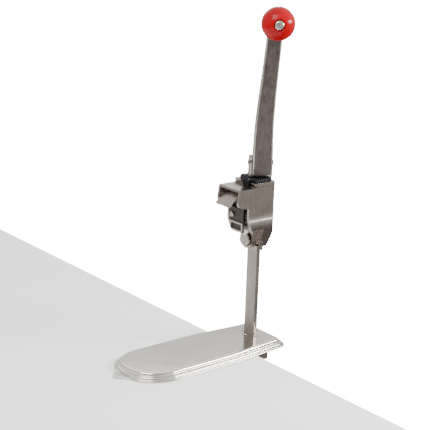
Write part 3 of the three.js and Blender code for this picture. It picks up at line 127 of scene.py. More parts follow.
class Finish:
    """A material whose pattern sits on object coordinates."""

    def __init__(self, name, tint, metallic, roughness):
        self.material = bpy.data.materials.new(name)
        self.material.use_nodes = True
        self.nodes = self.material.node_tree.nodes
        self.links = self.material.node_tree.links
        self.shader = self.nodes["Principled BSDF"]
        self.tint = tuple(tint)
        self.shader.inputs["Base Color"].default_value = (*tint, 1.0)
        self.shader.inputs["Metallic"].default_value = metallic
        self.shader.inputs["Roughness"].default_value = roughness
        self.coordinates = self.nodes.new("ShaderNodeTexCoord")
        self.normal = None

    def noise(self, scale, detail=4.0, stretch=(1.0, 1.0, 1.0)):
        mapping = self.nodes.new("ShaderNodeMapping")
        mapping.inputs["Scale"].default_value = stretch
        noise = self.nodes.new("ShaderNodeTexNoise")
        noise.inputs["Scale"].default_value = scale
        noise.inputs["Detail"].default_value = detail
        self.links.new(self.coordinates.outputs["Object"], mapping.inputs["Vector"])
        self.links.new(mapping.outputs["Vector"], noise.inputs["Vector"])
        return noise.outputs["Fac"]

    def spread(self, value, low, high):
        node = self.nodes.new("ShaderNodeMapRange")
        node.inputs["From Min"].default_value = NOISE_LOW
        node.inputs["From Max"].default_value = NOISE_HIGH
        node.inputs["To Min"].default_value = low
        node.inputs["To Max"].default_value = high
        self.links.new(value, node.inputs["Value"])
        return node.outputs["Result"]

    def roughness(self, value, low, high):
        self.links.new(self.spread(value, low, high), self.shader.inputs["Roughness"])

    def shade(self, value, darkest, lightest):
        ramp = self.nodes.new("ShaderNodeValToRGB")
        ramp.color_ramp.elements[0].position = NOISE_LOW
        ramp.color_ramp.elements[1].position = NOISE_HIGH
        ramp.color_ramp.elements[0].color = (*(c * darkest for c in self.tint), 1.0)
        ramp.color_ramp.elements[1].color = (*(min(c * lightest, 1.0) for c in self.tint), 1.0)
        self.links.new(value, ramp.inputs["Fac"])
        self.links.new(ramp.outputs["Color"], self.shader.inputs["Base Color"])

    def bump(self, value, strength, distance):
        node = self.nodes.new("ShaderNodeBump")
        node.inputs["Strength"].default_value = strength
        node.inputs["Distance"].default_value = distance
        self.links.new(value, node.inputs["Height"])
        if self.normal:
            self.links.new(self.normal, node.inputs["Normal"])
        self.normal = node.outputs["Normal"]
        self.links.new(self.normal, self.shader.inputs["Normal"])


def polished_steel(tint):
    finish = Finish("Polished steel", tint, metallic=1.0, roughness=0.2)
    cloud = finish.noise(scale=26.0, detail=3.0)
    lines = finish.noise(scale=900.0, detail=3.0, stretch=(0.05, 1.0, 1.0))
    finish.roughness(lines, low=0.08, high=0.17)
    finish.shade(cloud, darkest=0.93, lightest=1.06)
    finish.bump(lines, strength=0.05, distance=0.00005)
    return finish.material


def satin_steel(tint):
    finish = Finish("Satin cast steel", tint, metallic=1.0, roughness=0.4)
    grain = finish.noise(scale=1100.0, detail=4.0, stretch=(1.0, 1.0, 0.035))
    cloud = finish.noise(scale=55.0, detail=5.0)
    pits = finish.noise(scale=1500.0, detail=2.0)
    finish.roughness(grain, low=0.24, high=0.34)
    finish.shade(cloud, darkest=0.86, lightest=1.1)
    finish.bump(grain, strength=0.16, distance=0.00008)
    finish.bump(pits, strength=0.08, distance=0.00005)
    return finish.material


def bar_steel(tint):
    finish = Finish("Drawn bar steel", tint, metallic=1.0, roughness=0.4)
    grain = finish.noise(scale=1400.0, detail=3.0, stretch=(1.0, 1.0, 0.02))
    wear = finish.noise(scale=40.0, detail=4.0, stretch=(1.0, 1.0, 0.3))
    finish.roughness(grain, low=0.34, high=0.5)
    finish.shade(wear, darkest=0.82, lightest=1.12)
    finish.bump(grain, strength=0.2, distance=0.00008)
    return finish.material


# Painted shade: a dark metal for the knife holder's recessed faces, standing in for the shade in its
# recesses.
def painted_recess_shade(tint):
    finish = Finish("Raw cast steel", tint, metallic=0.9, roughness=0.55)
    lumps = finish.noise(scale=420.0, detail=6.0)
    finish.roughness(lumps, low=0.46, high=0.66)
    finish.shade(lumps, darkest=0.7, lightest=1.25)
    finish.bump(lumps, strength=0.4, distance=0.0003)
    return finish.material


def forged_steel(tint):
    finish = Finish("Forged steel face", tint, metallic=1.0, roughness=0.5)
    scale_marks = finish.noise(scale=230.0, detail=6.0, stretch=(1.0, 1.0, 0.4))
    streaks = finish.noise(scale=700.0, detail=4.0, stretch=(1.0, 1.0, 0.06))
    finish.roughness(scale_marks, low=0.42, high=0.6)
    finish.shade(scale_marks, darkest=0.78, lightest=1.22)
    finish.bump(scale_marks, strength=0.35, distance=0.0003)
    finish.bump(streaks, strength=0.15, distance=0.0001)
    return finish.material


# Bright ground steel for the knife and stud; on the lever's rounded edges it is a painted highlight.
def bright_steel_and_painted_highlight(tint):
    finish = Finish("Ground bright edge", tint, metallic=1.0, roughness=0.28)
    grain = finish.noise(scale=1000.0, detail=3.0, stretch=(1.0, 1.0, 0.05))
    finish.roughness(grain, low=0.22, high=0.36)
    finish.shade(grain, darkest=0.92, lightest=1.05)
    finish.bump(grain, strength=0.1, distance=0.00005)
    return finish.material


def machined_steel(tint):
    finish = Finish("Machined steel", tint, metallic=1.0, roughness=0.33)
    grain = finish.noise(scale=1300.0, detail=3.0)
    cloud = finish.noise(scale=90.0, detail=4.0)
    finish.roughness(grain, low=0.26, high=0.42)
    finish.shade(cloud, darkest=0.85, lightest=1.1)
    finish.bump(grain, strength=0.08, distance=0.00005)
    return finish.material


def bronze_metal(tint):
    finish = Finish("Bearing bronze", tint, metallic=1.0, roughness=0.38)
    cloud = finish.noise(scale=160.0, detail=5.0)
    finish.roughness(cloud, low=0.3, high=0.48)
    finish.shade(cloud, darkest=0.75, lightest=1.15)
    finish.bump(cloud, strength=0.08, distance=0.00005)
    return finish.material


def black_plastic(tint):
    finish = Finish("Moulded black plastic", tint, metallic=0.0, roughness=0.4)
    finish.shader.inputs["Specular IOR Level"].default_value = 0.3
    grain = finish.noise(scale=1600.0, detail=2.0)
    cloud = finish.noise(scale=70.0, detail=4.0)
    finish.roughness(cloud, low=0.34, high=0.48)
    finish.shade(cloud, darkest=0.85, lightest=1.25)
    finish.bump(grain, strength=0.12, distance=0.00006)
    return finish.material


def soft_rubber(tint):
    finish = Finish("Black rubber", tint, metallic=0.0, roughness=0.8)
    grain = finish.noise(scale=900.0, detail=3.0)
    finish.roughness(grain, low=0.74, high=0.9)
    finish.shade(grain, darkest=0.8, lightest=1.3)
    finish.bump(grain, strength=0.3, distance=0.0001)
    return finish.material


def red_plastic(tint):
    finish = Finish("Glossy red plastic", tint, metallic=0.0, roughness=0.16)
    finish.shader.inputs["Specular IOR Level"].default_value = 0.12
    finish.shader.inputs["Coat Weight"].default_value = 0.06
    finish.shader.inputs["Coat Roughness"].default_value = 0.06
    cloud = finish.noise(scale=45.0, detail=3.0)
    ripple = finish.noise(scale=120.0, detail=2.0)
    finish.roughness(cloud, low=0.13, high=0.22)
    finish.shade(cloud, darkest=0.9, lightest=1.08)
    finish.bump(ripple, strength=0.04, distance=0.0001)
    return finish.material


def bench_top(tint):
    finish = Finish("Pale bench top", tint, metallic=0.0, roughness=0.5)
    cloud = finish.noise(scale=3.0, detail=4.0)
    finish.roughness(cloud, low=0.42, high=0.56)
    finish.shade(cloud, darkest=0.985, lightest=1.01)
    return finish.material


MAKERS = {
    "polished": polished_steel, "satin": satin_steel, "bar": bar_steel, "cast": painted_recess_shade,
    "forged": forged_steel, "edge": bright_steel_and_painted_highlight, "machined": machined_steel, "bronze": bronze_metal,
    "plastic": black_plastic, "rubber": soft_rubber, "knob": red_plastic, "bench": bench_top,
}
MADE = {}


def material(name):
    """The named finish, made once in the scene's colour for it."""
    if name not in MADE:
        MADE[name] = MAKERS[name](getattr(bpy.context.scene.opener_finishes, name))
    return MADE[name]


# ---------- Mesh helpers ----------

SMOOTH_BELOW = math.radians(34)
FLAT_WITHIN = math.radians(0.6)
JOIN_WITHIN = 2e-6
CRISP_WITHIN = 0.05 * MM
ROUND_PROFILE = 0.5


def new_piece(name, bm, *materials):
    """A linked object from a bmesh, shaded smooth with its sharp edges kept."""
    for face in bm.faces:
        face.smooth = True
    for edge in bm.edges:
        if len(edge.link_faces) == 2:
            edge.smooth = edge.calc_face_angle(0.0) < SMOOTH_BELOW
    mesh = bpy.data.meshes.new(name)
    bm.to_mesh(mesh)
    bm.free()
    for item in materials:
        mesh.materials.append(item)
    piece = bpy.data.objects.new(name, mesh)
    bpy.context.scene.collection.objects.link(piece)
    even = piece.modifiers.new("Even shading", "WEIGHTED_NORMAL")
    even.keep_sharp = True
    return piece


def settle(piece, body, slot, *nodes):
    """Stands a finished piece in for its nodes and puts it on its body."""
    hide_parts(*nodes)
    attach(piece, body)


def dress(node, name):
    """Gives a kept node its finish."""
    mesh = frame["nodes"][node].data
    mesh.materials.clear()
    mesh.materials.append(material(name))


def softened(node, width, segments, sharp, crisp=None):
    """A copy of a node's mesh with its flat faces joined and its edges rounded, apart from those
    that lie at the crisp height."""
    bm = bmesh.new()
    bm.from_mesh(frame["nodes"][node].data)
    bmesh.ops.remove_doubles(bm, verts=bm.verts, dist=JOIN_WITHIN)
    bmesh.ops.dissolve_limit(bm, angle_limit=FLAT_WITHIN, verts=bm.verts, edges=bm.edges)
    edges = [e for e in bm.edges if len(e.link_faces) == 2
             and e.calc_face_angle(0.0) > math.radians(sharp)
             and not (crisp and all(abs(v.co.z - crisp) < CRISP_WITHIN for v in e.verts))]
    bmesh.ops.bevel(bm, geom=edges, offset=width, segments=segments,
                    profile=ROUND_PROFILE, affect="EDGES", clamp_overlap=True, loop_slide=True)
    return bm


def round_off(name, node, body, slot, finish, **rounding):
    """A node's softened copy in one finish, standing in for the node."""
    bm = softened(node, **rounding)
    settle(new_piece(name, bm, material(finish)), body, slot, node)


def skin(rings):
    """A mesh through rings of equal count, with its ends capped."""
    bm = bmesh.new()
    made = [[bm.verts.new(point) for point in ring] for ring in rings]
    for low, high in zip(made, made[1:]):
        for i in range(len(low)):
            j = (i + 1) % len(low)
            bm.faces.new((low[i], low[j], high[j], high[i]))
    bm.faces.new(list(reversed(made[0])))
    bm.faces.new(made[-1])
    bmesh.ops.recalc_face_normals(bm, faces=bm.faces)
    return bm


def arc(centre, radius, start, end, steps):
    """Points on an arc, angles in degrees."""
    turns = [math.radians(start + (end - start) * i / steps) for i in range(steps + 1)]
    return [(centre[0] + radius * math.cos(t), centre[1] + radius * math.sin(t)) for t in turns]


def circle(radius, height, steps):
    """Points round the Z axis at a height."""
    turns = [2 * math.pi * i / steps for i in range(steps)]
    return [Vector((radius * math.cos(t), radius * math.sin(t), height)) for t in turns]


def turned(profile, axis_place, steps):
    """A closed solid of revolution: (radius, place) pairs round a matrix's Z, the last joined
    to the first."""
    bm = bmesh.new()
    rings = []
    for radius, place in profile:
        rings.append([bm.verts.new(axis_place @ point) for point in circle(radius, place, steps)])
    for low, high in zip(rings, rings[1:] + rings[:1]):
        for i in range(steps):
            j = (i + 1) % steps
            bm.faces.new((low[i], low[j], high[j], high[i]))
    bmesh.ops.recalc_face_normals(bm, faces=bm.faces)
    return bm


def rod(start, end, radius, steps=48):
    """A closed round bar between two points."""
    start, end = Vector(start), Vector(end)
    turn = (end - start).to_track_quat("Z", "Y").to_matrix()
    rings = []
    for place in (start, end):
        rings.append([place + turn @ point for point in circle(radius, 0.0, steps)])
    return skin(rings)


def block(low, high):
    """A closed box between two corners."""
    bm = bmesh.new()
    middle = (Vector(low) + Vector(high)) / 2
    size = Vector(high) - Vector(low)
    place = Matrix.Translation(middle) @ Matrix.Diagonal((*size, 1.0))
    bmesh.ops.create_cube(bm, size=1.0, matrix=place)
    return bm


def combine(base, *steps):
    """Adds and cuts closed meshes: each step is ("UNION" or "DIFFERENCE", bmesh)."""
    result = bpy.data.meshes.new("work")
    base.to_mesh(result)
    base.free()
    work = bpy.data.objects.new("work", result)
    bpy.context.scene.collection.objects.link(work)
    for operation, tool in steps:
        tool_mesh = bpy.data.meshes.new("tool")
        tool.to_mesh(tool_mesh)
        tool.free()
        tool_object = bpy.data.objects.new("tool", tool_mesh)
        bpy.context.scene.collection.objects.link(tool_object)
        boolean = work.modifiers.new("Boolean", "BOOLEAN")
        boolean.operation = operation
        boolean.solver = "EXACT"
        boolean.object = tool_object
        evaluated = work.evaluated_get(bpy.context.evaluated_depsgraph_get())
        mesh = bpy.data.meshes.new_from_object(evaluated)
        work.modifiers.clear()
        work.data = mesh
        bpy.data.objects.remove(tool_object)
        bpy.data.meshes.remove(tool_mesh)
    bm = bmesh.new()
    bm.from_mesh(work.data)
    bpy.data.objects.remove(work)
    if not bm.faces:
        raise RuntimeError("a cut left nothing of the piece")
    return bm


# ---------- Repeating pieces ----------

SCREW_SIDES = 40
SCREW_SEED = 7
RIM_SHARE = 0.1
SLOT_LENGTH_SHARE = 2.4
SLOT_HEIGHT_SHARE = 0.4
COIL_STEPS = 36
WIRE_SIDES = 12
SPRING_TURNS = 3.5


class Tree:
    """A Geometry Nodes tree built in a few calls."""

    def __init__(self, name, inputs):
        self.tree = bpy.data.node_groups.new(name, "GeometryNodeTree")
        face = self.tree.interface
        face.new_socket(name="Geometry", in_out="INPUT", socket_type="NodeSocketGeometry")
        for label, kind in inputs:
            face.new_socket(name=label, in_out="INPUT", socket_type=f"NodeSocket{kind}")
        face.new_socket(name="Geometry", in_out="OUTPUT", socket_type="NodeSocketGeometry")
        self.given = self.tree.nodes.new("NodeGroupInput")
        self.result = self.tree.nodes.new("NodeGroupOutput")

    def add(self, kind, **settings):
        node = self.tree.nodes.new(kind)
        for key, value in settings.items():
            setattr(node, key, value)
        return node

    def join(self, source, target):
        self.tree.links.new(source, target)

    def math(self, operation, first, second):
        node = self.add("ShaderNodeMath", operation=operation)
        for socket, value in zip(node.inputs, (first, second)):
            if isinstance(value, (int, float)):
                socket.default_value = value
            else:
                self.join(value, socket)
        return node.outputs[0]

    def offset_z(self, geometry, height):
        place = self.add("ShaderNodeCombineXYZ")
        self.join(height, place.inputs["Z"])
        move = self.add("GeometryNodeTransform")
        self.join(geometry, move.inputs["Geometry"])
        self.join(place.outputs[0], move.inputs["Translation"])
        return move.outputs[0]

    def finish(self, geometry, paint):
        """Realises the geometry, paints it and makes it the tree's result."""
        real = self.add("GeometryNodeRealizeInstances")
        self.join(geometry, real.inputs["Geometry"])
        coat = self.add("GeometryNodeSetMaterial")
        self.join(real.outputs["Geometry"], coat.inputs["Geometry"])
        self.join(paint, coat.inputs["Material"])
        self.join(coat.outputs["Geometry"], self.result.inputs["Geometry"])
        return self.tree


def screw_tree():
    """Slotted countersunk screws standing on the points it is given."""
    tree = Tree("Slotted screws", [("Head Diameter", "Float"), ("Shank Diameter", "Float"),
                                   ("Length", "Float"), ("Slot Width", "Float"),
                                   ("Finish", "Material")])
    given = tree.given.outputs
    head = tree.math("MULTIPLY", given["Head Diameter"], 0.5)
    shank = tree.math("MULTIPLY", given["Shank Diameter"], 0.5)
    depth = tree.math("SUBTRACT", head, shank)
    rim = tree.math("MULTIPLY", head, RIM_SHARE)
    cone = tree.add("GeometryNodeMeshCone")
    cone.inputs["Vertices"].default_value = SCREW_SIDES
    tree.join(head, cone.inputs["Radius Top"])
    tree.join(shank, cone.inputs["Radius Bottom"])
    tree.join(tree.math("SUBTRACT", depth, rim), cone.inputs["Depth"])
    chamfer = tree.add("GeometryNodeMeshCone")
    chamfer.inputs["Vertices"].default_value = SCREW_SIDES
    tree.join(tree.math("SUBTRACT", head, rim), chamfer.inputs["Radius Top"])
    tree.join(head, chamfer.inputs["Radius Bottom"])
    tree.join(rim, chamfer.inputs["Depth"])
    stem = tree.add("GeometryNodeMeshCylinder")
    stem.inputs["Vertices"].default_value = SCREW_SIDES
    tree.join(shank, stem.inputs["Radius"])
    tree.join(tree.math("SUBTRACT", given["Length"], depth), stem.inputs["Depth"])
    stem_middle = tree.math("MULTIPLY", tree.math("ADD", given["Length"], depth), -0.5)
    solid = tree.add("GeometryNodeMeshBoolean", operation="UNION")
    for part, height in ((cone, tree.math("MULTIPLY", depth, -1.0)),
                         (chamfer, tree.math("MULTIPLY", rim, -1.0)), (stem, stem_middle)):
        tree.join(tree.offset_z(part.outputs["Mesh"], height), solid.inputs["Mesh 2"])
    slot_size = tree.add("ShaderNodeCombineXYZ")
    tree.join(tree.math("MULTIPLY", head, SLOT_LENGTH_SHARE), slot_size.inputs["X"])
    tree.join(given["Slot Width"], slot_size.inputs["Y"])
    tree.join(tree.math("MULTIPLY", head, SLOT_HEIGHT_SHARE), slot_size.inputs["Z"])
    slot = tree.add("GeometryNodeMeshCube")
    tree.join(slot_size.outputs[0], slot.inputs["Size"])
    cut = tree.add("GeometryNodeMeshBoolean", operation="DIFFERENCE")
    tree.join(solid.outputs["Mesh"], cut.inputs["Mesh 1"])
    tree.join(slot.outputs["Mesh"], cut.inputs["Mesh 2"])
    stand = tree.add("GeometryNodeInstanceOnPoints")
    tree.join(given["Geometry"], stand.inputs["Points"])
    tree.join(cut.outputs["Mesh"], stand.inputs["Instance"])
    turn = tree.add("FunctionNodeRandomValue", data_type="FLOAT_VECTOR")
    turn.inputs["Max"].default_value = (0.0, 0.0, math.pi)
    turn.inputs["Seed"].default_value = SCREW_SEED
    tree.join(turn.outputs["Value"], stand.inputs["Rotation"])
    return tree.finish(stand.outputs["Instances"], given["Finish"])


def spring_tree():
    """A coil along Z from the origin."""
    tree = Tree("Coil spring", [("Radius", "Float"), ("Height", "Float"), ("Turns", "Float"),
                                ("Wire Radius", "Float"), ("Finish", "Material")])
    given = tree.given.outputs
    coil = tree.add("GeometryNodeCurveSpiral")
    coil.inputs["Resolution"].default_value = COIL_STEPS
    tree.join(given["Turns"], coil.inputs["Rotations"])
    tree.join(given["Radius"], coil.inputs["Start Radius"])
    tree.join(given["Radius"], coil.inputs["End Radius"])
    tree.join(given["Height"], coil.inputs["Height"])
    wire = tree.add("GeometryNodeCurvePrimitiveCircle")
    wire.inputs["Resolution"].default_value = WIRE_SIDES
    tree.join(given["Wire Radius"], wire.inputs["Radius"])
    tube = tree.add("GeometryNodeCurveToMesh")
    tube.inputs["Fill Caps"].default_value = True
    tree.join(coil.outputs["Curve"], tube.inputs["Curve"])
    tree.join(wire.outputs["Curve"], tube.inputs["Profile Curve"])
    return tree.finish(tube.outputs["Mesh"], given["Finish"])


def grown(name, points, tree, values):
    """Runs a tree on points and returns its result as a bmesh."""
    mesh = bpy.data.meshes.new(name)
    mesh.from_pydata([tuple(point) for point in points], [], [])
    seed = bpy.data.objects.new(name, mesh)
    bpy.context.scene.collection.objects.link(seed)
    nodes = seed.modifiers.new("Nodes", "NODES")
    nodes.node_group = tree
    for socket in tree.interface.items_tree:
        if socket.in_out == "INPUT" and socket.name in values:
            nodes[socket.identifier] = values[socket.name]
    evaluated = seed.evaluated_get(bpy.context.evaluated_depsgraph_get())
    result = bpy.data.meshes.new_from_object(evaluated)
    bpy.data.objects.remove(seed)
    bm = bmesh.new()
    bm.from_mesh(result)
    if not bm.faces:
        raise RuntimeError(f"{name} came out empty")
    return bm


def stand_screws(name, nodes, body, shank):
    """One piece for a set of like screws, each on its node's place."""
    boxes = [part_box(node) for node in nodes]
    low, high = boxes[0]
    points = [((a.x + b.x) / 2, (a.y + b.y) / 2, b.z) for a, b in boxes]
    sizes = bpy.context.scene.opener_sizes
    bm = grown(name, points, screw_tree(), {
        "Head Diameter": high.x - low.x, "Shank Diameter": shank, "Length": high.z - low.z,
        "Slot Width": sizes.screw_slot, "Finish": material("machined"),
    })
    piece = new_piece(name, bm, material("machined"))
    settle(piece, body, "tool_steel", *nodes)


# ---------- Base ----------

NOSE = (-65.0 * MM, 0.0, 40.0 * MM)
SEAT_CORNERS = (
    NOSE, (30.0 * MM, 0.0, 40.0 * MM),
    (111.5 * MM, 28.0 * MM, 5.0 * MM), (111.5 * MM, -28.0 * MM, 5.0 * MM),
)
EAR_CORNERS = ((-117.0 * MM, 0.0, 9.0 * MM), (-90.0 * MM, 0.0, 26.0 * MM))
GUIDE_SCREWS = ("guide_screw_front", "guide_screw_rear", "guide_screw_near", "guide_screw_far")
PLATE_SCREWS = ("plate_screw_near_front", "plate_screw_near_rear", "plate_screw_far_front",
                "plate_screw_far_rear")
GUIDE_SHANK = 3.6 * MM
PLATE_SHANK = 3.0 * MM
BAND_STEPS = 288
COARSE_BAND_STEPS = 144
SEAT_INSIDE = -3 * MM
SEAT_FLAT_END = -1.2 * MM
LEDGE_FILLET = 1.1 * MM
LEDGE_ROUND = 2.3 * MM
FLANGE_FILLET = 0.9 * MM
INNER_FOOT = 0.7 * MM
INNER_LEDGE = 1.2 * MM
INNER_FILLET = 0.6 * MM
EAR_OVERLAP = 1.2 * MM
CUT_LOW = -5 * MM
EAR_CUT_TOP = 20 * MM
HOLE_CUT_TOP = 10 * MM
SLOT_CUT_TOP = 30 * MM
SLOT_GAP = 0.35 * MM
SCREW_HEAD_GAP = 0.3 * MM
SCREW_SHANK_GAP = 0.2 * MM
SINK_RISE = 2 * MM
SINK_STEPS = 48
SHANK_CUT_DEPTH = 6 * MM
SHANK_CUT_RISE = 1 * MM


def band(circles, offset, height, steps=BAND_STEPS):
    """The tight band round circles, pushed out by an offset, at a height."""
    points = []
    for i in range(steps):
        turn = 2 * math.pi * (i + 0.5) / steps
        out = Vector((math.cos(turn), math.sin(turn), 0.0))
        x, y, radius = max(circles, key=lambda c: c[0] * out.x + c[1] * out.y + c[2])
        points.append(Vector((x, y, height)) + out * (radius + offset))
    return points


def base_section(sizes, top):
    """(offset, height) points of the pressed sheet from the seat's top, round its edge and back
    under the seat."""
    ledge = top - sizes.ledge_drop
    sheet = sizes.sheet
    inner = sizes.wall_out - sheet
    section = [(SEAT_INSIDE, top), (SEAT_FLAT_END, top)]
    section += arc((0, top - sizes.shoulder), sizes.shoulder, 90, 0, steps=10)
    section += arc((sizes.shoulder + LEDGE_FILLET, ledge + LEDGE_FILLET), LEDGE_FILLET, 180, 270, steps=5)
    section += arc((sizes.wall_out - LEDGE_ROUND, ledge - LEDGE_ROUND), LEDGE_ROUND, 90, 0, steps=8)
    section += arc((sizes.wall_out + FLANGE_FILLET, sheet + FLANGE_FILLET), FLANGE_FILLET,
                   180, 270, steps=4)
    section += arc((sizes.flange - sheet / 2, sheet / 2), sheet / 2, 90, -90, steps=8)
    section += arc((inner + INNER_FOOT, INNER_FOOT), INNER_FOOT, -90, -180, steps=3)
    section += arc((inner - INNER_LEDGE, ledge - sheet - INNER_LEDGE), INNER_LEDGE, 0, 90, steps=4)
    section += arc((sizes.shoulder - sheet + INNER_FILLET, ledge - sheet + INNER_FILLET),
                   INNER_FILLET, -90, -180, steps=2)
    section += arc((0, top - sizes.shoulder), sizes.shoulder - sheet, 0, 90, steps=5)
    section.append((SEAT_INSIDE, top - sheet))
    return section


class OPENER_OT_base_plate(Operator):
    """Pressed base plate with its stepped edge, screw ear, bar slot and countersunk holes"""
    bl_idname = "opener.base_plate"
    bl_label = "Base Plate"

    def execute(self, context):
        sizes = context.scene.opener_sizes
        section = base_section(sizes, SEAT_TOP)
        shell = skin([band(SEAT_CORNERS, offset, z) for offset, z in section])
        edge = sizes.sheet / 2
        rim = arc((-edge, edge), edge, -90, 90, steps=8)
        ear = skin([band(EAR_CORNERS, offset, z, COARSE_BAND_STEPS) for offset, z in rim])
        inside = skin([band(SEAT_CORNERS, sizes.wall_out + EAR_OVERLAP, z, COARSE_BAND_STEPS)
                       for z in (CUT_LOW, EAR_CUT_TOP)])
        ear = combine(ear, ("DIFFERENCE", inside))
        hole_x = EAR_CORNERS[0][0]
        hole = rod((hole_x, 0, CUT_LOW), (hole_x, 0, HOLE_CUT_TOP), sizes.ear_hole / 2)
        slot_low = (BAR_LOW.x - SLOT_GAP, BAR_LOW.y - SLOT_GAP, CUT_LOW)
        slot_high = (BAR_HIGH.x + SLOT_GAP, BAR_HIGH.y + SLOT_GAP, SLOT_CUT_TOP)
        cuts = [("UNION", ear), ("DIFFERENCE", hole), ("DIFFERENCE", block(slot_low, slot_high))]
        for node in GUIDE_SCREWS:
            low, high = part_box(node)
            middle = (low + high) / 2
            head = (high.x - low.x) / 2 + SCREW_HEAD_GAP
            shank = GUIDE_SHANK / 2
            place = Matrix.Translation((middle.x, middle.y, SEAT_TOP))
            sink = skin([[place @ point for point in circle(radius, z, SINK_STEPS)]
                         for radius, z in ((shank, shank - head), (head + SINK_RISE, SINK_RISE))])
            cuts.append(("DIFFERENCE", sink))
            through = rod((middle.x, middle.y, SEAT_TOP - SHANK_CUT_DEPTH),
                          (middle.x, middle.y, SEAT_TOP + SHANK_CUT_RISE), shank + SCREW_SHANK_GAP)
            cuts.append(("DIFFERENCE", through))
        bm = combine(shell, *cuts)
        piece = new_piece("Pressed_base", bm, material("polished"))
        settle(piece, "base", "polished_steel", "base_plate")
        return {"FINISHED"}


class OPENER_OT_base_fittings(Operator):
    """Rubber pad, guide block and sprung brake under the seat"""
    bl_idname = "opener.base_fittings"
    bl_label = "Base Fittings"

    def execute(self, context):
        sizes = context.scene.opener_sizes
        round_off("Seat_pad", "base_pad", "base", "black_rubber", "rubber",
                  width=0.9 * MM, segments=3, sharp=40.0)
        round_off("Guide_block", "bar_guide", "base", "satin_steel", "bar",
                  width=0.7 * MM, segments=2, sharp=40.0)
        low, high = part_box("brake_spring")
        middle = (low + high) / 2
        wire = sizes.spring_wire / 2
        coil = grown("Brake_spring", [(0, 0, 0)], spring_tree(), {
            "Radius": (high.y - low.y) / 2 - wire, "Height": high.x - low.x - 2 * wire,
            "Turns": SPRING_TURNS,
            "Wire Radius": wire, "Finish": material("machined"),
        })
        coil.transform(Matrix.Translation((low.x + wire, middle.y, middle.z))
                       @ Matrix.Rotation(math.pi / 2, 4, "Y"))
        piece = new_piece("Brake_coil", coil, material("machined"))
        settle(piece, "base", "tool_steel", "brake_spring")
        dress("brake_shoe", "bronze")
        dress("brake_screw", "machined")
        return {"FINISHED"}


class OPENER_OT_screws(Operator):
    """Countersunk screws of the guide block and of the top plate"""
    bl_idname = "opener.screws"
    bl_label = "Screws"

    def execute(self, context):
        stand_screws("Guide_screws", GUIDE_SCREWS, "base", GUIDE_SHANK)
        stand_screws("Top_plate_screws", PLATE_SCREWS, "head", PLATE_SHANK)
        return {"FINISHED"}


# ---------- Head ----------

class OPENER_OT_slide_bar(Operator):
    """Slide bar and the two pins that hold it in the head"""
    bl_idname = "opener.slide_bar"
    bl_label = "Slide Bar"

    def execute(self, context):
        round_off("Slide_bar", "slide_bar", "head", "satin_steel", "bar",
                  width=0.35 * MM, segments=2, sharp=40.0)
        dress("bar_pin_lower", "machined")
        dress("bar_pin_upper", "machined")
        return {"FINISHED"}


class OPENER_OT_head(Operator):
    """Cast head with its hood, rolled belly and arm"""
    bl_idname = "opener.head"
    bl_label = "Head Casting"

    def execute(self, context):
        edge = context.scene.opener_sizes.edge
        round_off("Head_casting", "head_body", "head", "satin_steel", "satin",
                  width=edge, segments=2, sharp=30.0, crisp=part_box("head_body")[1].z)
        return {"FINISHED"}


class OPENER_OT_head_top(Operator):
    """Top plate, moulded cap and guard plate"""
    bl_idname = "opener.head_top"
    bl_label = "Head Top"

    def execute(self, context):
        round_off("Top_plate", "top_plate", "head", "satin_steel", "satin",
                  width=0.4 * MM, segments=2, sharp=40.0, crisp=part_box("top_plate")[0].z)
        round_off("Moulded_cap", "top_cap", "head", "black_plastic", "plastic",
                  width=0.7 * MM, segments=3, sharp=35.0)
        round_off("Guard_plate", "guard_plate", "head", "satin_steel", "satin",
                  width=0.3 * MM, segments=2, sharp=35.0)
        return {"FINISHED"}


# Knife holder faces that face the can and stand back from its front get the cast colour, a painted shade
# in its recesses.
SHADED_FACING = -0.9
SHADED_SET_BACK = 0.8 * MM


class OPENER_OT_knife(Operator):
    """Knife, its holder and the holder's pin"""
    bl_idname = "opener.knife"
    bl_label = "Knife and Holder"

    def execute(self, context):
        holder = softened("knife_holder", width=0.45 * MM, segments=2, sharp=35.0)
        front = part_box("knife_holder")[0].x
        holder.normal_update()
        for face in holder.faces:
            set_back = face.calc_center_median().x - front
            # Recessed faces facing the can take the cast colour: painted shade.
            if face.normal.x < SHADED_FACING and set_back > SHADED_SET_BACK:
                face.material_index = 1
        piece = new_piece("Knife_holder", holder, material("satin"), material("cast"))
        settle(piece, "head", "satin_steel", "knife_holder")
        round_off("Holder_pin", "holder_pin", "head", "tool_steel", "machined",
                  width=0.2 * MM, segments=2, sharp=40.0)
        round_off("Knife_blade", "knife", "head", "tool_steel", "edge",
                  width=0.2 * MM, segments=1, sharp=40.0)
        return {"FINISHED"}


class OPENER_OT_drive(Operator):
    """Drive wheel with its shaft, gears, spindle and bushes"""
    bl_idname = "opener.drive"
    bl_label = "Drive"

    def execute(self, context):
        round_off("Toothed_wheel", "drive_wheel", "wheel", "tool_steel", "machined",
                  width=0.2 * MM, segments=1, sharp=40.0)
        for node in ("drive_shaft", "wheel_washer", "drive_pinion", "spindle", "spindle_gear",
                     "spindle_clip"):
            dress(node, "machined")
        for node in ("lower_bush", "upper_bush", "drive_bush"):
            dress(node, "bronze")
        return {"FINISHED"}


# ---------- Crank ----------

class OPENER_OT_crank_hub(Operator):
    """Hub with the hinge cheek, and the hinge pin"""
    bl_idname = "opener.crank_hub"
    bl_label = "Crank Hub"

    def execute(self, context):
        round_off("Hinge_hub", "crank_hub", "crank", "satin_steel", "satin",
                  width=0.9 * MM, segments=3, sharp=35.0)
        round_off("Hinge_pin", "hinge_pin", "crank", "tool_steel", "machined",
                  width=0.5 * MM, segments=2, sharp=50.0)
        return {"FINISHED"}


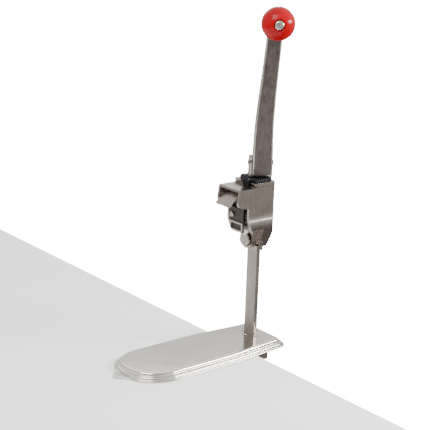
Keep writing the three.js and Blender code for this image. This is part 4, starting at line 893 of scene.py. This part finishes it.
LEVER_FRONT = -11.0 * MM
LEVER_BACK = 3.0 * MM
LEVER_TIP_BACK = -2.0 * MM
LEVER_MIDDLE = 6.4 * MM
LEVER_HALF = 13.2 * MM
TIP_MIDDLE = 16.0 * MM
TIP_HALF = 10.0 * MM
PARALLEL_TOP = 262.0 * MM
STRAIGHT_TOP = 280.0 * MM
SIDE_FOOT = 234.7 * MM
BEND_LOW = 320.0 * MM
BEND_HIGH = 365.0 * MM
SIDE_TAPER = 0.6 * MM
LOW_PULL = 1.4 * MM
HIGH_PULL = 4 * MM
SIDE_STEPS = 8
TAPER_STEPS = 4
BEND_STEPS = 40
TIP_STEPS = 32
BACK_ENDS = 20 * MM
LEVER_LIP = 0.5 * MM
LIP_SHARE = 0.7
FLOOR_ROUND = 1.4 * MM
FLOOR_STEP = 0.4 * MM
FACE_BEHIND = 0.5 * MM
# Facing limits for the lever's faces: below the first, a face is a side or inside; between the two, it is
# a rounded edge painted with a highlight.
SIDE_AND_HIGHLIGHT_FACING = (0.08, 0.97)
MOUTH_LIFT = 0.02 * MM
MOUTH_RISE = 8 * MM
PAST_FOOT = 5 * MM
PAST_BACK = 20 * MM
PAST_SIDES = 60 * MM
PAST_TIP = 30 * MM
PIN_HOLE_RADIUS = 3.85 * MM
STUD_HOLE_RADIUS = 4.3 * MM
KNOB_Z = (KNOB_LOW.z + KNOB_HIGH.z) / 2


def bezier(a, b, c, d, steps):
    """Points along a cubic curve, without its last one."""
    points = []
    for i in range(steps):
        t = i / steps
        s = 1 - t
        points.append(a * s ** 3 + b * 3 * s * s * t + c * 3 * s * t * t + d * t ** 3)
    return points


def lever_outline(inset):
    """(across, up) points round the lever, seen from the front, drawn in by an inset."""
    half = LEVER_HALF - inset
    tip = TIP_HALF - inset
    foot = LEVER_FOOT + inset
    points = [Vector((LEVER_MIDDLE - half, foot)), Vector((LEVER_MIDDLE, foot))]
    right_foot = Vector((LEVER_MIDDLE + half, foot))
    right_low = Vector((LEVER_MIDDLE + half - SIDE_TAPER, STRAIGHT_TOP))
    right_side = Vector((LEVER_MIDDLE + half, PARALLEL_TOP))
    points += [right_foot.lerp(right_side, i / SIDE_STEPS) for i in range(SIDE_STEPS)]
    points += [right_side.lerp(right_low, i / TAPER_STEPS) for i in range(TAPER_STEPS)]
    right_top = Vector((TIP_MIDDLE + tip, KNOB_Z))
    points += bezier(right_low, Vector((LEVER_MIDDLE + half - LOW_PULL, BEND_LOW)),
                     Vector((TIP_MIDDLE + tip - HIGH_PULL, BEND_HIGH)), right_top, BEND_STEPS)
    points += [Vector(p) for p in arc((TIP_MIDDLE, KNOB_Z), tip, 0, 180, TIP_STEPS)][:-1]
    left_low = Vector((LEVER_MIDDLE - half + SIDE_TAPER, STRAIGHT_TOP))
    left_top = Vector((TIP_MIDDLE - tip, KNOB_Z))
    points += bezier(left_top, Vector((TIP_MIDDLE - tip - HIGH_PULL, BEND_HIGH)),
                     Vector((LEVER_MIDDLE - half + LOW_PULL, BEND_LOW)), left_low, BEND_STEPS)
    left_side = Vector((LEVER_MIDDLE - half, PARALLEL_TOP))
    points += [left_low.lerp(left_side, i / TAPER_STEPS) for i in range(TAPER_STEPS)]
    points += [left_side.lerp(points[0], i / SIDE_STEPS) for i in range(SIDE_STEPS)]
    return points


def lever_back(z):
    """Depth of the channel's open edges at a height."""
    low = HINGE.z + BACK_ENDS
    share = min(max((z - low) / (KNOB_Z - BACK_ENDS - low), 0.0), 1.0)
    return LEVER_BACK + share * (LEVER_TIP_BACK - LEVER_BACK)


class OPENER_OT_lever(Operator):
    """Folding lever, a forged channel whose rounded edges carry a painted highlight"""
    bl_idname = "opener.lever"
    bl_label = "Lever"

    def execute(self, context):
        sizes = context.scene.opener_sizes
        rounding = sizes.lever_round
        wall = sizes.lever_wall
        lip = LEVER_LIP
        floor = LEVER_FRONT + wall

        def ring(inset, depth):
            return [CRANK @ Vector((p.x, depth, p.y)) for p in lever_outline(inset)]

        def edge_ring(inset, forward):
            return [CRANK @ Vector((p.x, lever_back(p.y) - forward, p.y))
                    for p in lever_outline(inset)]

        round_in = lip * LIP_SHARE
        round_on = lip * (1 - LIP_SHARE)
        rings = [ring(wall + FLOOR_ROUND, floor), ring(wall + FLOOR_STEP, floor + FLOOR_STEP),
                 ring(wall, floor + FLOOR_ROUND)]
        rings += [edge_ring(wall, lip), edge_ring(wall - round_in, round_on),
                  edge_ring(wall - lip, 0.0)]
        rings += [edge_ring(lip, 0.0), edge_ring(round_on, round_on), edge_ring(0.0, lip)]
        for inset, depth in arc((rounding, LEVER_FRONT + rounding), rounding, 180, 270, steps=7):
            rings.append(ring(inset, depth))
        inner = LEVER_HALF - wall
        low = LEVER_FOOT - PAST_FOOT
        cuts = (
            block((LEVER_MIDDLE - inner, floor + MOUTH_LIFT, low),
                  (LEVER_MIDDLE + inner, PAST_BACK, LEVER_FOOT + MOUTH_RISE)),
            block((-PAST_SIDES, floor, low), (PAST_SIDES, PAST_BACK, SIDE_FOOT)),
            rod((-PAST_SIDES, 0, HINGE.z), (PAST_SIDES, 0, HINGE.z), PIN_HOLE_RADIUS),
            rod((TIP_MIDDLE, -PAST_TIP, KNOB_Z), (TIP_MIDDLE, PAST_TIP, KNOB_Z), STUD_HOLE_RADIUS),
        )
        for cut in cuts:
            cut.transform(CRANK)
        bm = combine(skin(rings), *(("DIFFERENCE", cut) for cut in cuts))
        forward = CRANK.to_3x3() @ Vector((0, -1, 0))
        to_crank = CRANK.inverted()
        bm.normal_update()
        for face in bm.faces:
            middle = to_crank @ face.calc_center_median()
            facing = face.normal.dot(forward)
            # Rounded edges turned part-way from the front take the bright edge colour, a painted
            # highlight; the front face keeps the dark forged colour.
            if middle.y >= floor - FACE_BEHIND or facing <= SIDE_AND_HIGHLIGHT_FACING[0]:
                face.material_index = 2
            else:
                face.material_index = 1 if facing < SIDE_AND_HIGHLIGHT_FACING[1] else 0
        piece = new_piece("Channel_lever", bm, material("forged"), material("edge"),
                          material("satin"))
        settle(piece, "lever", "forged_steel", "lever")
        return {"FINISHED"}


KNOB_BACK = -13.6 * MM
KNOB_LENGTH = 39.5 * MM
KNOB_BORE_RADIUS = 4.35 * MM
KNOB_BORE_EDGE = 0.3 * MM
RECESS_DEPTH = 2.6 * MM
RECESS_ROUND = 0.5 * MM
BALL_STEPS = 64
BALL_SIDES = 128


class OPENER_OT_knob(Operator):
    """Ball knob with the stud and washer that hold it"""
    bl_idname = "opener.knob"
    bl_label = "Ball Knob"

    def execute(self, context):
        sizes = context.scene.opener_sizes
        radius = (KNOB_HIGH.z - KNOB_LOW.z) / 2
        front = KNOB_BACK - KNOB_LENGTH
        middle = (front + KNOB_BACK) / 2
        bore = KNOB_BORE_RADIUS
        recess = sizes.knob_recess / 2
        half = math.degrees(math.asin((KNOB_BACK - middle) / radius))
        turns = [math.radians(half - i * 2 * half / BALL_STEPS) for i in range(BALL_STEPS + 1)]
        profile = [(bore, KNOB_BACK), (bore + KNOB_BORE_EDGE, KNOB_BACK)]
        profile += [(radius * math.cos(t), middle + radius * math.sin(t)) for t in turns]
        profile += arc((recess + RECESS_ROUND, front + RECESS_ROUND), RECESS_ROUND, -90, -180, steps=4)
        profile += [(recess, front + RECESS_DEPTH), (bore, front + RECESS_DEPTH)]
        axis_place = (CRANK @ Matrix.Translation((TIP_MIDDLE, 0, KNOB_Z))
                      @ Matrix.Rotation(-math.pi / 2, 4, "X"))
        ball = turned(profile, axis_place, BALL_SIDES)
        settle(new_piece("Ball_knob", ball, material("knob")), "knob", "red_plastic", "knob")
        round_off("Knob_stud", "knob_stud", "lever", "tool_steel", "edge",
                  width=0.3 * MM, segments=2, sharp=40.0)
        round_off("Knob_washer", "knob_washer", "lever", "tool_steel", "machined",
                  width=0.25 * MM, segments=2, sharp=40.0)
        return {"FINISHED"}


# ---------- Stage ----------

OPERATOR_SIDE = (-0.63, -0.77, 0.0)
OPERATOR_FROM, OPERATOR_TO = 0.45, 0.95
OPERATOR_DIM = 0.1
FLOOR_TONE = (0.15, 0.14, 0.135, 1.0)
LEVEL_TONE = (0.60, 0.585, 0.57, 1.0)
FLOOR_AT, LEVEL_AT, SKY_AT = 0.25, 0.5, 0.85
BACKDROP = (14.0, 14.0, 14.0, 1.0)
WORLD_STRENGTH = 1.4
MIX_FIRST, MIX_SECOND, MIX_RESULT = 6, 7, 2
BENCH_EDGE = ((0.065, 1.351, 0.0), (0.074, -1.147, 0.0))
BENCH_BACK = (-0.55, -0.70, 0.0)
BENCH_REACH = 2.4
BENCH_THICKNESS = 30 * MM
BENCH_ROUND = 1.5 * MM
CAMERA_LENS = 96.9
CAMERA_SENSOR = 36.0
CAMERA_PLACE = (-0.8721, -1.1104, 0.591)
CAMERA_FORWARD = (0.6057, 0.7480, -0.2714)
CAMERA_ROLL = 0.0332


def aim(obj, forward, roll=0.0):
    """Turns a camera or a lamp to look along a direction."""
    turn = Vector(forward).to_track_quat("-Z", "Y").to_matrix().to_4x4()
    obj.rotation_euler = (turn @ Matrix.Rotation(roll, 4, "Z")).to_euler()


def soft_lamp(name, place, target, size, power, tint):
    lamp = bpy.data.lights.new(name, "AREA")
    lamp.shape = "RECTANGLE"
    lamp.size = size[0]
    lamp.size_y = size[1]
    lamp.energy = power
    lamp.color = tint
    holder = bpy.data.objects.new(name, lamp)
    holder.location = place
    aim(holder, Vector(target) - Vector(place))
    bpy.context.scene.collection.objects.link(holder)


def studio_world():
    """White studio air, darker towards the floor and behind the operator, so that polished steel
    has something to show."""
    world = bpy.data.worlds.new("Studio")
    world.use_nodes = True
    nodes = world.node_tree.nodes
    links = world.node_tree.links
    coordinates = nodes.new("ShaderNodeTexCoord")
    split = nodes.new("ShaderNodeSeparateXYZ")
    ramp = nodes.new("ShaderNodeValToRGB")
    rise = nodes.new("ShaderNodeMapRange")
    rise.inputs["From Min"].default_value = -1.0
    links.new(coordinates.outputs["Generated"], split.inputs["Vector"])
    links.new(split.outputs["Z"], rise.inputs["Value"])
    links.new(rise.outputs["Result"], ramp.inputs["Fac"])
    ramp.color_ramp.elements[0].color = FLOOR_TONE
    ramp.color_ramp.elements[0].position = FLOOR_AT
    ramp.color_ramp.elements[1].color = (1.0, 1.0, 1.0, 1.0)
    ramp.color_ramp.elements[1].position = SKY_AT
    middle = ramp.color_ramp.elements.new(LEVEL_AT)
    middle.color = LEVEL_TONE
    facing = nodes.new("ShaderNodeVectorMath")
    facing.operation = "DOT_PRODUCT"
    facing.inputs[1].default_value = OPERATOR_SIDE
    links.new(coordinates.outputs["Generated"], facing.inputs[0])
    shade = nodes.new("ShaderNodeMapRange")
    shade.inputs["From Min"].default_value = OPERATOR_FROM
    shade.inputs["From Max"].default_value = OPERATOR_TO
    shade.inputs["To Min"].default_value = 1.0
    shade.inputs["To Max"].default_value = OPERATOR_DIM
    links.new(facing.outputs["Value"], shade.inputs["Value"])
    dimmed = nodes.new("ShaderNodeVectorMath")
    dimmed.operation = "SCALE"
    links.new(ramp.outputs["Color"], dimmed.inputs[0])
    links.new(shade.outputs["Result"], dimmed.inputs["Scale"])
    path = nodes.new("ShaderNodeLightPath")
    mix = nodes.new("ShaderNodeMix")
    mix.data_type = "RGBA"
    links.new(path.outputs["Is Camera Ray"], mix.inputs["Factor"])
    links.new(dimmed.outputs["Vector"], mix.inputs[MIX_FIRST])
    mix.inputs[MIX_SECOND].default_value = BACKDROP
    links.new(mix.outputs[MIX_RESULT], nodes["Background"].inputs["Color"])
    nodes["Background"].inputs["Strength"].default_value = WORLD_STRENGTH
    bpy.context.scene.world = world


class OPENER_OT_stage(Operator):
    """Bench top, soft studio light and the camera"""
    bl_idname = "opener.stage"
    bl_label = "Stage"

    def execute(self, context):
        far, near = (Vector(point) for point in BENCH_EDGE)
        reach = BENCH_REACH * Vector(BENCH_BACK)
        corners = [far, near, near + reach, far + reach]
        rings = [[Vector((c.x, c.y, z)) for c in corners]
                 for z in (-BENCH_THICKNESS, -BENCH_ROUND, 0.0)]
        slab = skin(rings)
        top = new_piece("Bench_top", slab, material("bench"))
        bevel = top.modifiers.new("Edge", "BEVEL")
        bevel.width = BENCH_ROUND
        bevel.segments = 3
        studio_world()
        soft_lamp("Key", place=(-0.9, -0.3, 1.5), target=(0.0, 0.0, 0.1),
                  size=(0.9, 0.9), power=22.0, tint=(1.0, 0.99, 0.97))
        soft_lamp("Fill", place=(0.85, -0.80, 0.68), target=(0.09, 0.0, 0.17),
                  size=(0.5, 0.16), power=26.0, tint=(1.0, 0.99, 0.98))
        soft_lamp("Back", place=(0.7, 1.2, 1.0), target=(0.05, 0.0, 0.2),
                  size=(1.0, 0.6), power=4.0, tint=(1.0, 0.97, 0.94))
        camera = bpy.data.cameras.new("Camera")
        camera.lens = CAMERA_LENS
        camera.sensor_width = CAMERA_SENSOR
        view = bpy.data.objects.new("Camera", camera)
        view.location = CAMERA_PLACE
        aim(view, CAMERA_FORWARD, CAMERA_ROLL)
        context.scene.collection.objects.link(view)
        context.scene.camera = view
        return {"FINISHED"}


# ---------- Panel and registration ----------

BUILD_ORDER = (
    OPENER_OT_base_plate, OPENER_OT_base_fittings, OPENER_OT_screws, OPENER_OT_slide_bar,
    OPENER_OT_head, OPENER_OT_head_top, OPENER_OT_knife, OPENER_OT_drive, OPENER_OT_crank_hub,
    OPENER_OT_lever, OPENER_OT_knob, OPENER_OT_stage,
)


class OPENER_PT_panel(Panel):
    """Sizes, finishes and build steps of the can opener"""
    bl_idname = "OPENER_PT_panel"
    bl_label = "Can Opener"
    bl_space_type = "VIEW_3D"
    bl_region_type = "UI"
    bl_category = "Can Opener"

    def draw(self, context):
        scene = context.scene
        for group in (scene.opener_sizes, scene.opener_finishes):
            column = self.layout.column()
            for name in group.bl_rna.properties.keys():
                if name not in {"rna_type", "name"}:
                    column.prop(group, name)
        column = self.layout.column()
        for operator in BUILD_ORDER:
            column.operator(operator.bl_idname)


CLASSES = (OPENER_PG_sizes, OPENER_PG_finishes, *BUILD_ORDER, OPENER_PT_panel)


def register():
    for item in CLASSES:
        bpy.utils.register_class(item)
    bpy.types.Scene.opener_sizes = PointerProperty(type=OPENER_PG_sizes)
    bpy.types.Scene.opener_finishes = PointerProperty(type=OPENER_PG_finishes)


def unregister():
    del bpy.types.Scene.opener_finishes
    del bpy.types.Scene.opener_sizes
    for item in reversed(CLASSES):
        bpy.utils.unregister_class(item)


def main():
    register()
    for operator in BUILD_ORDER:
        module, name = operator.bl_idname.split(".")
        getattr(getattr(bpy.ops, module), name)()


if __name__ == "__main__":
    main()
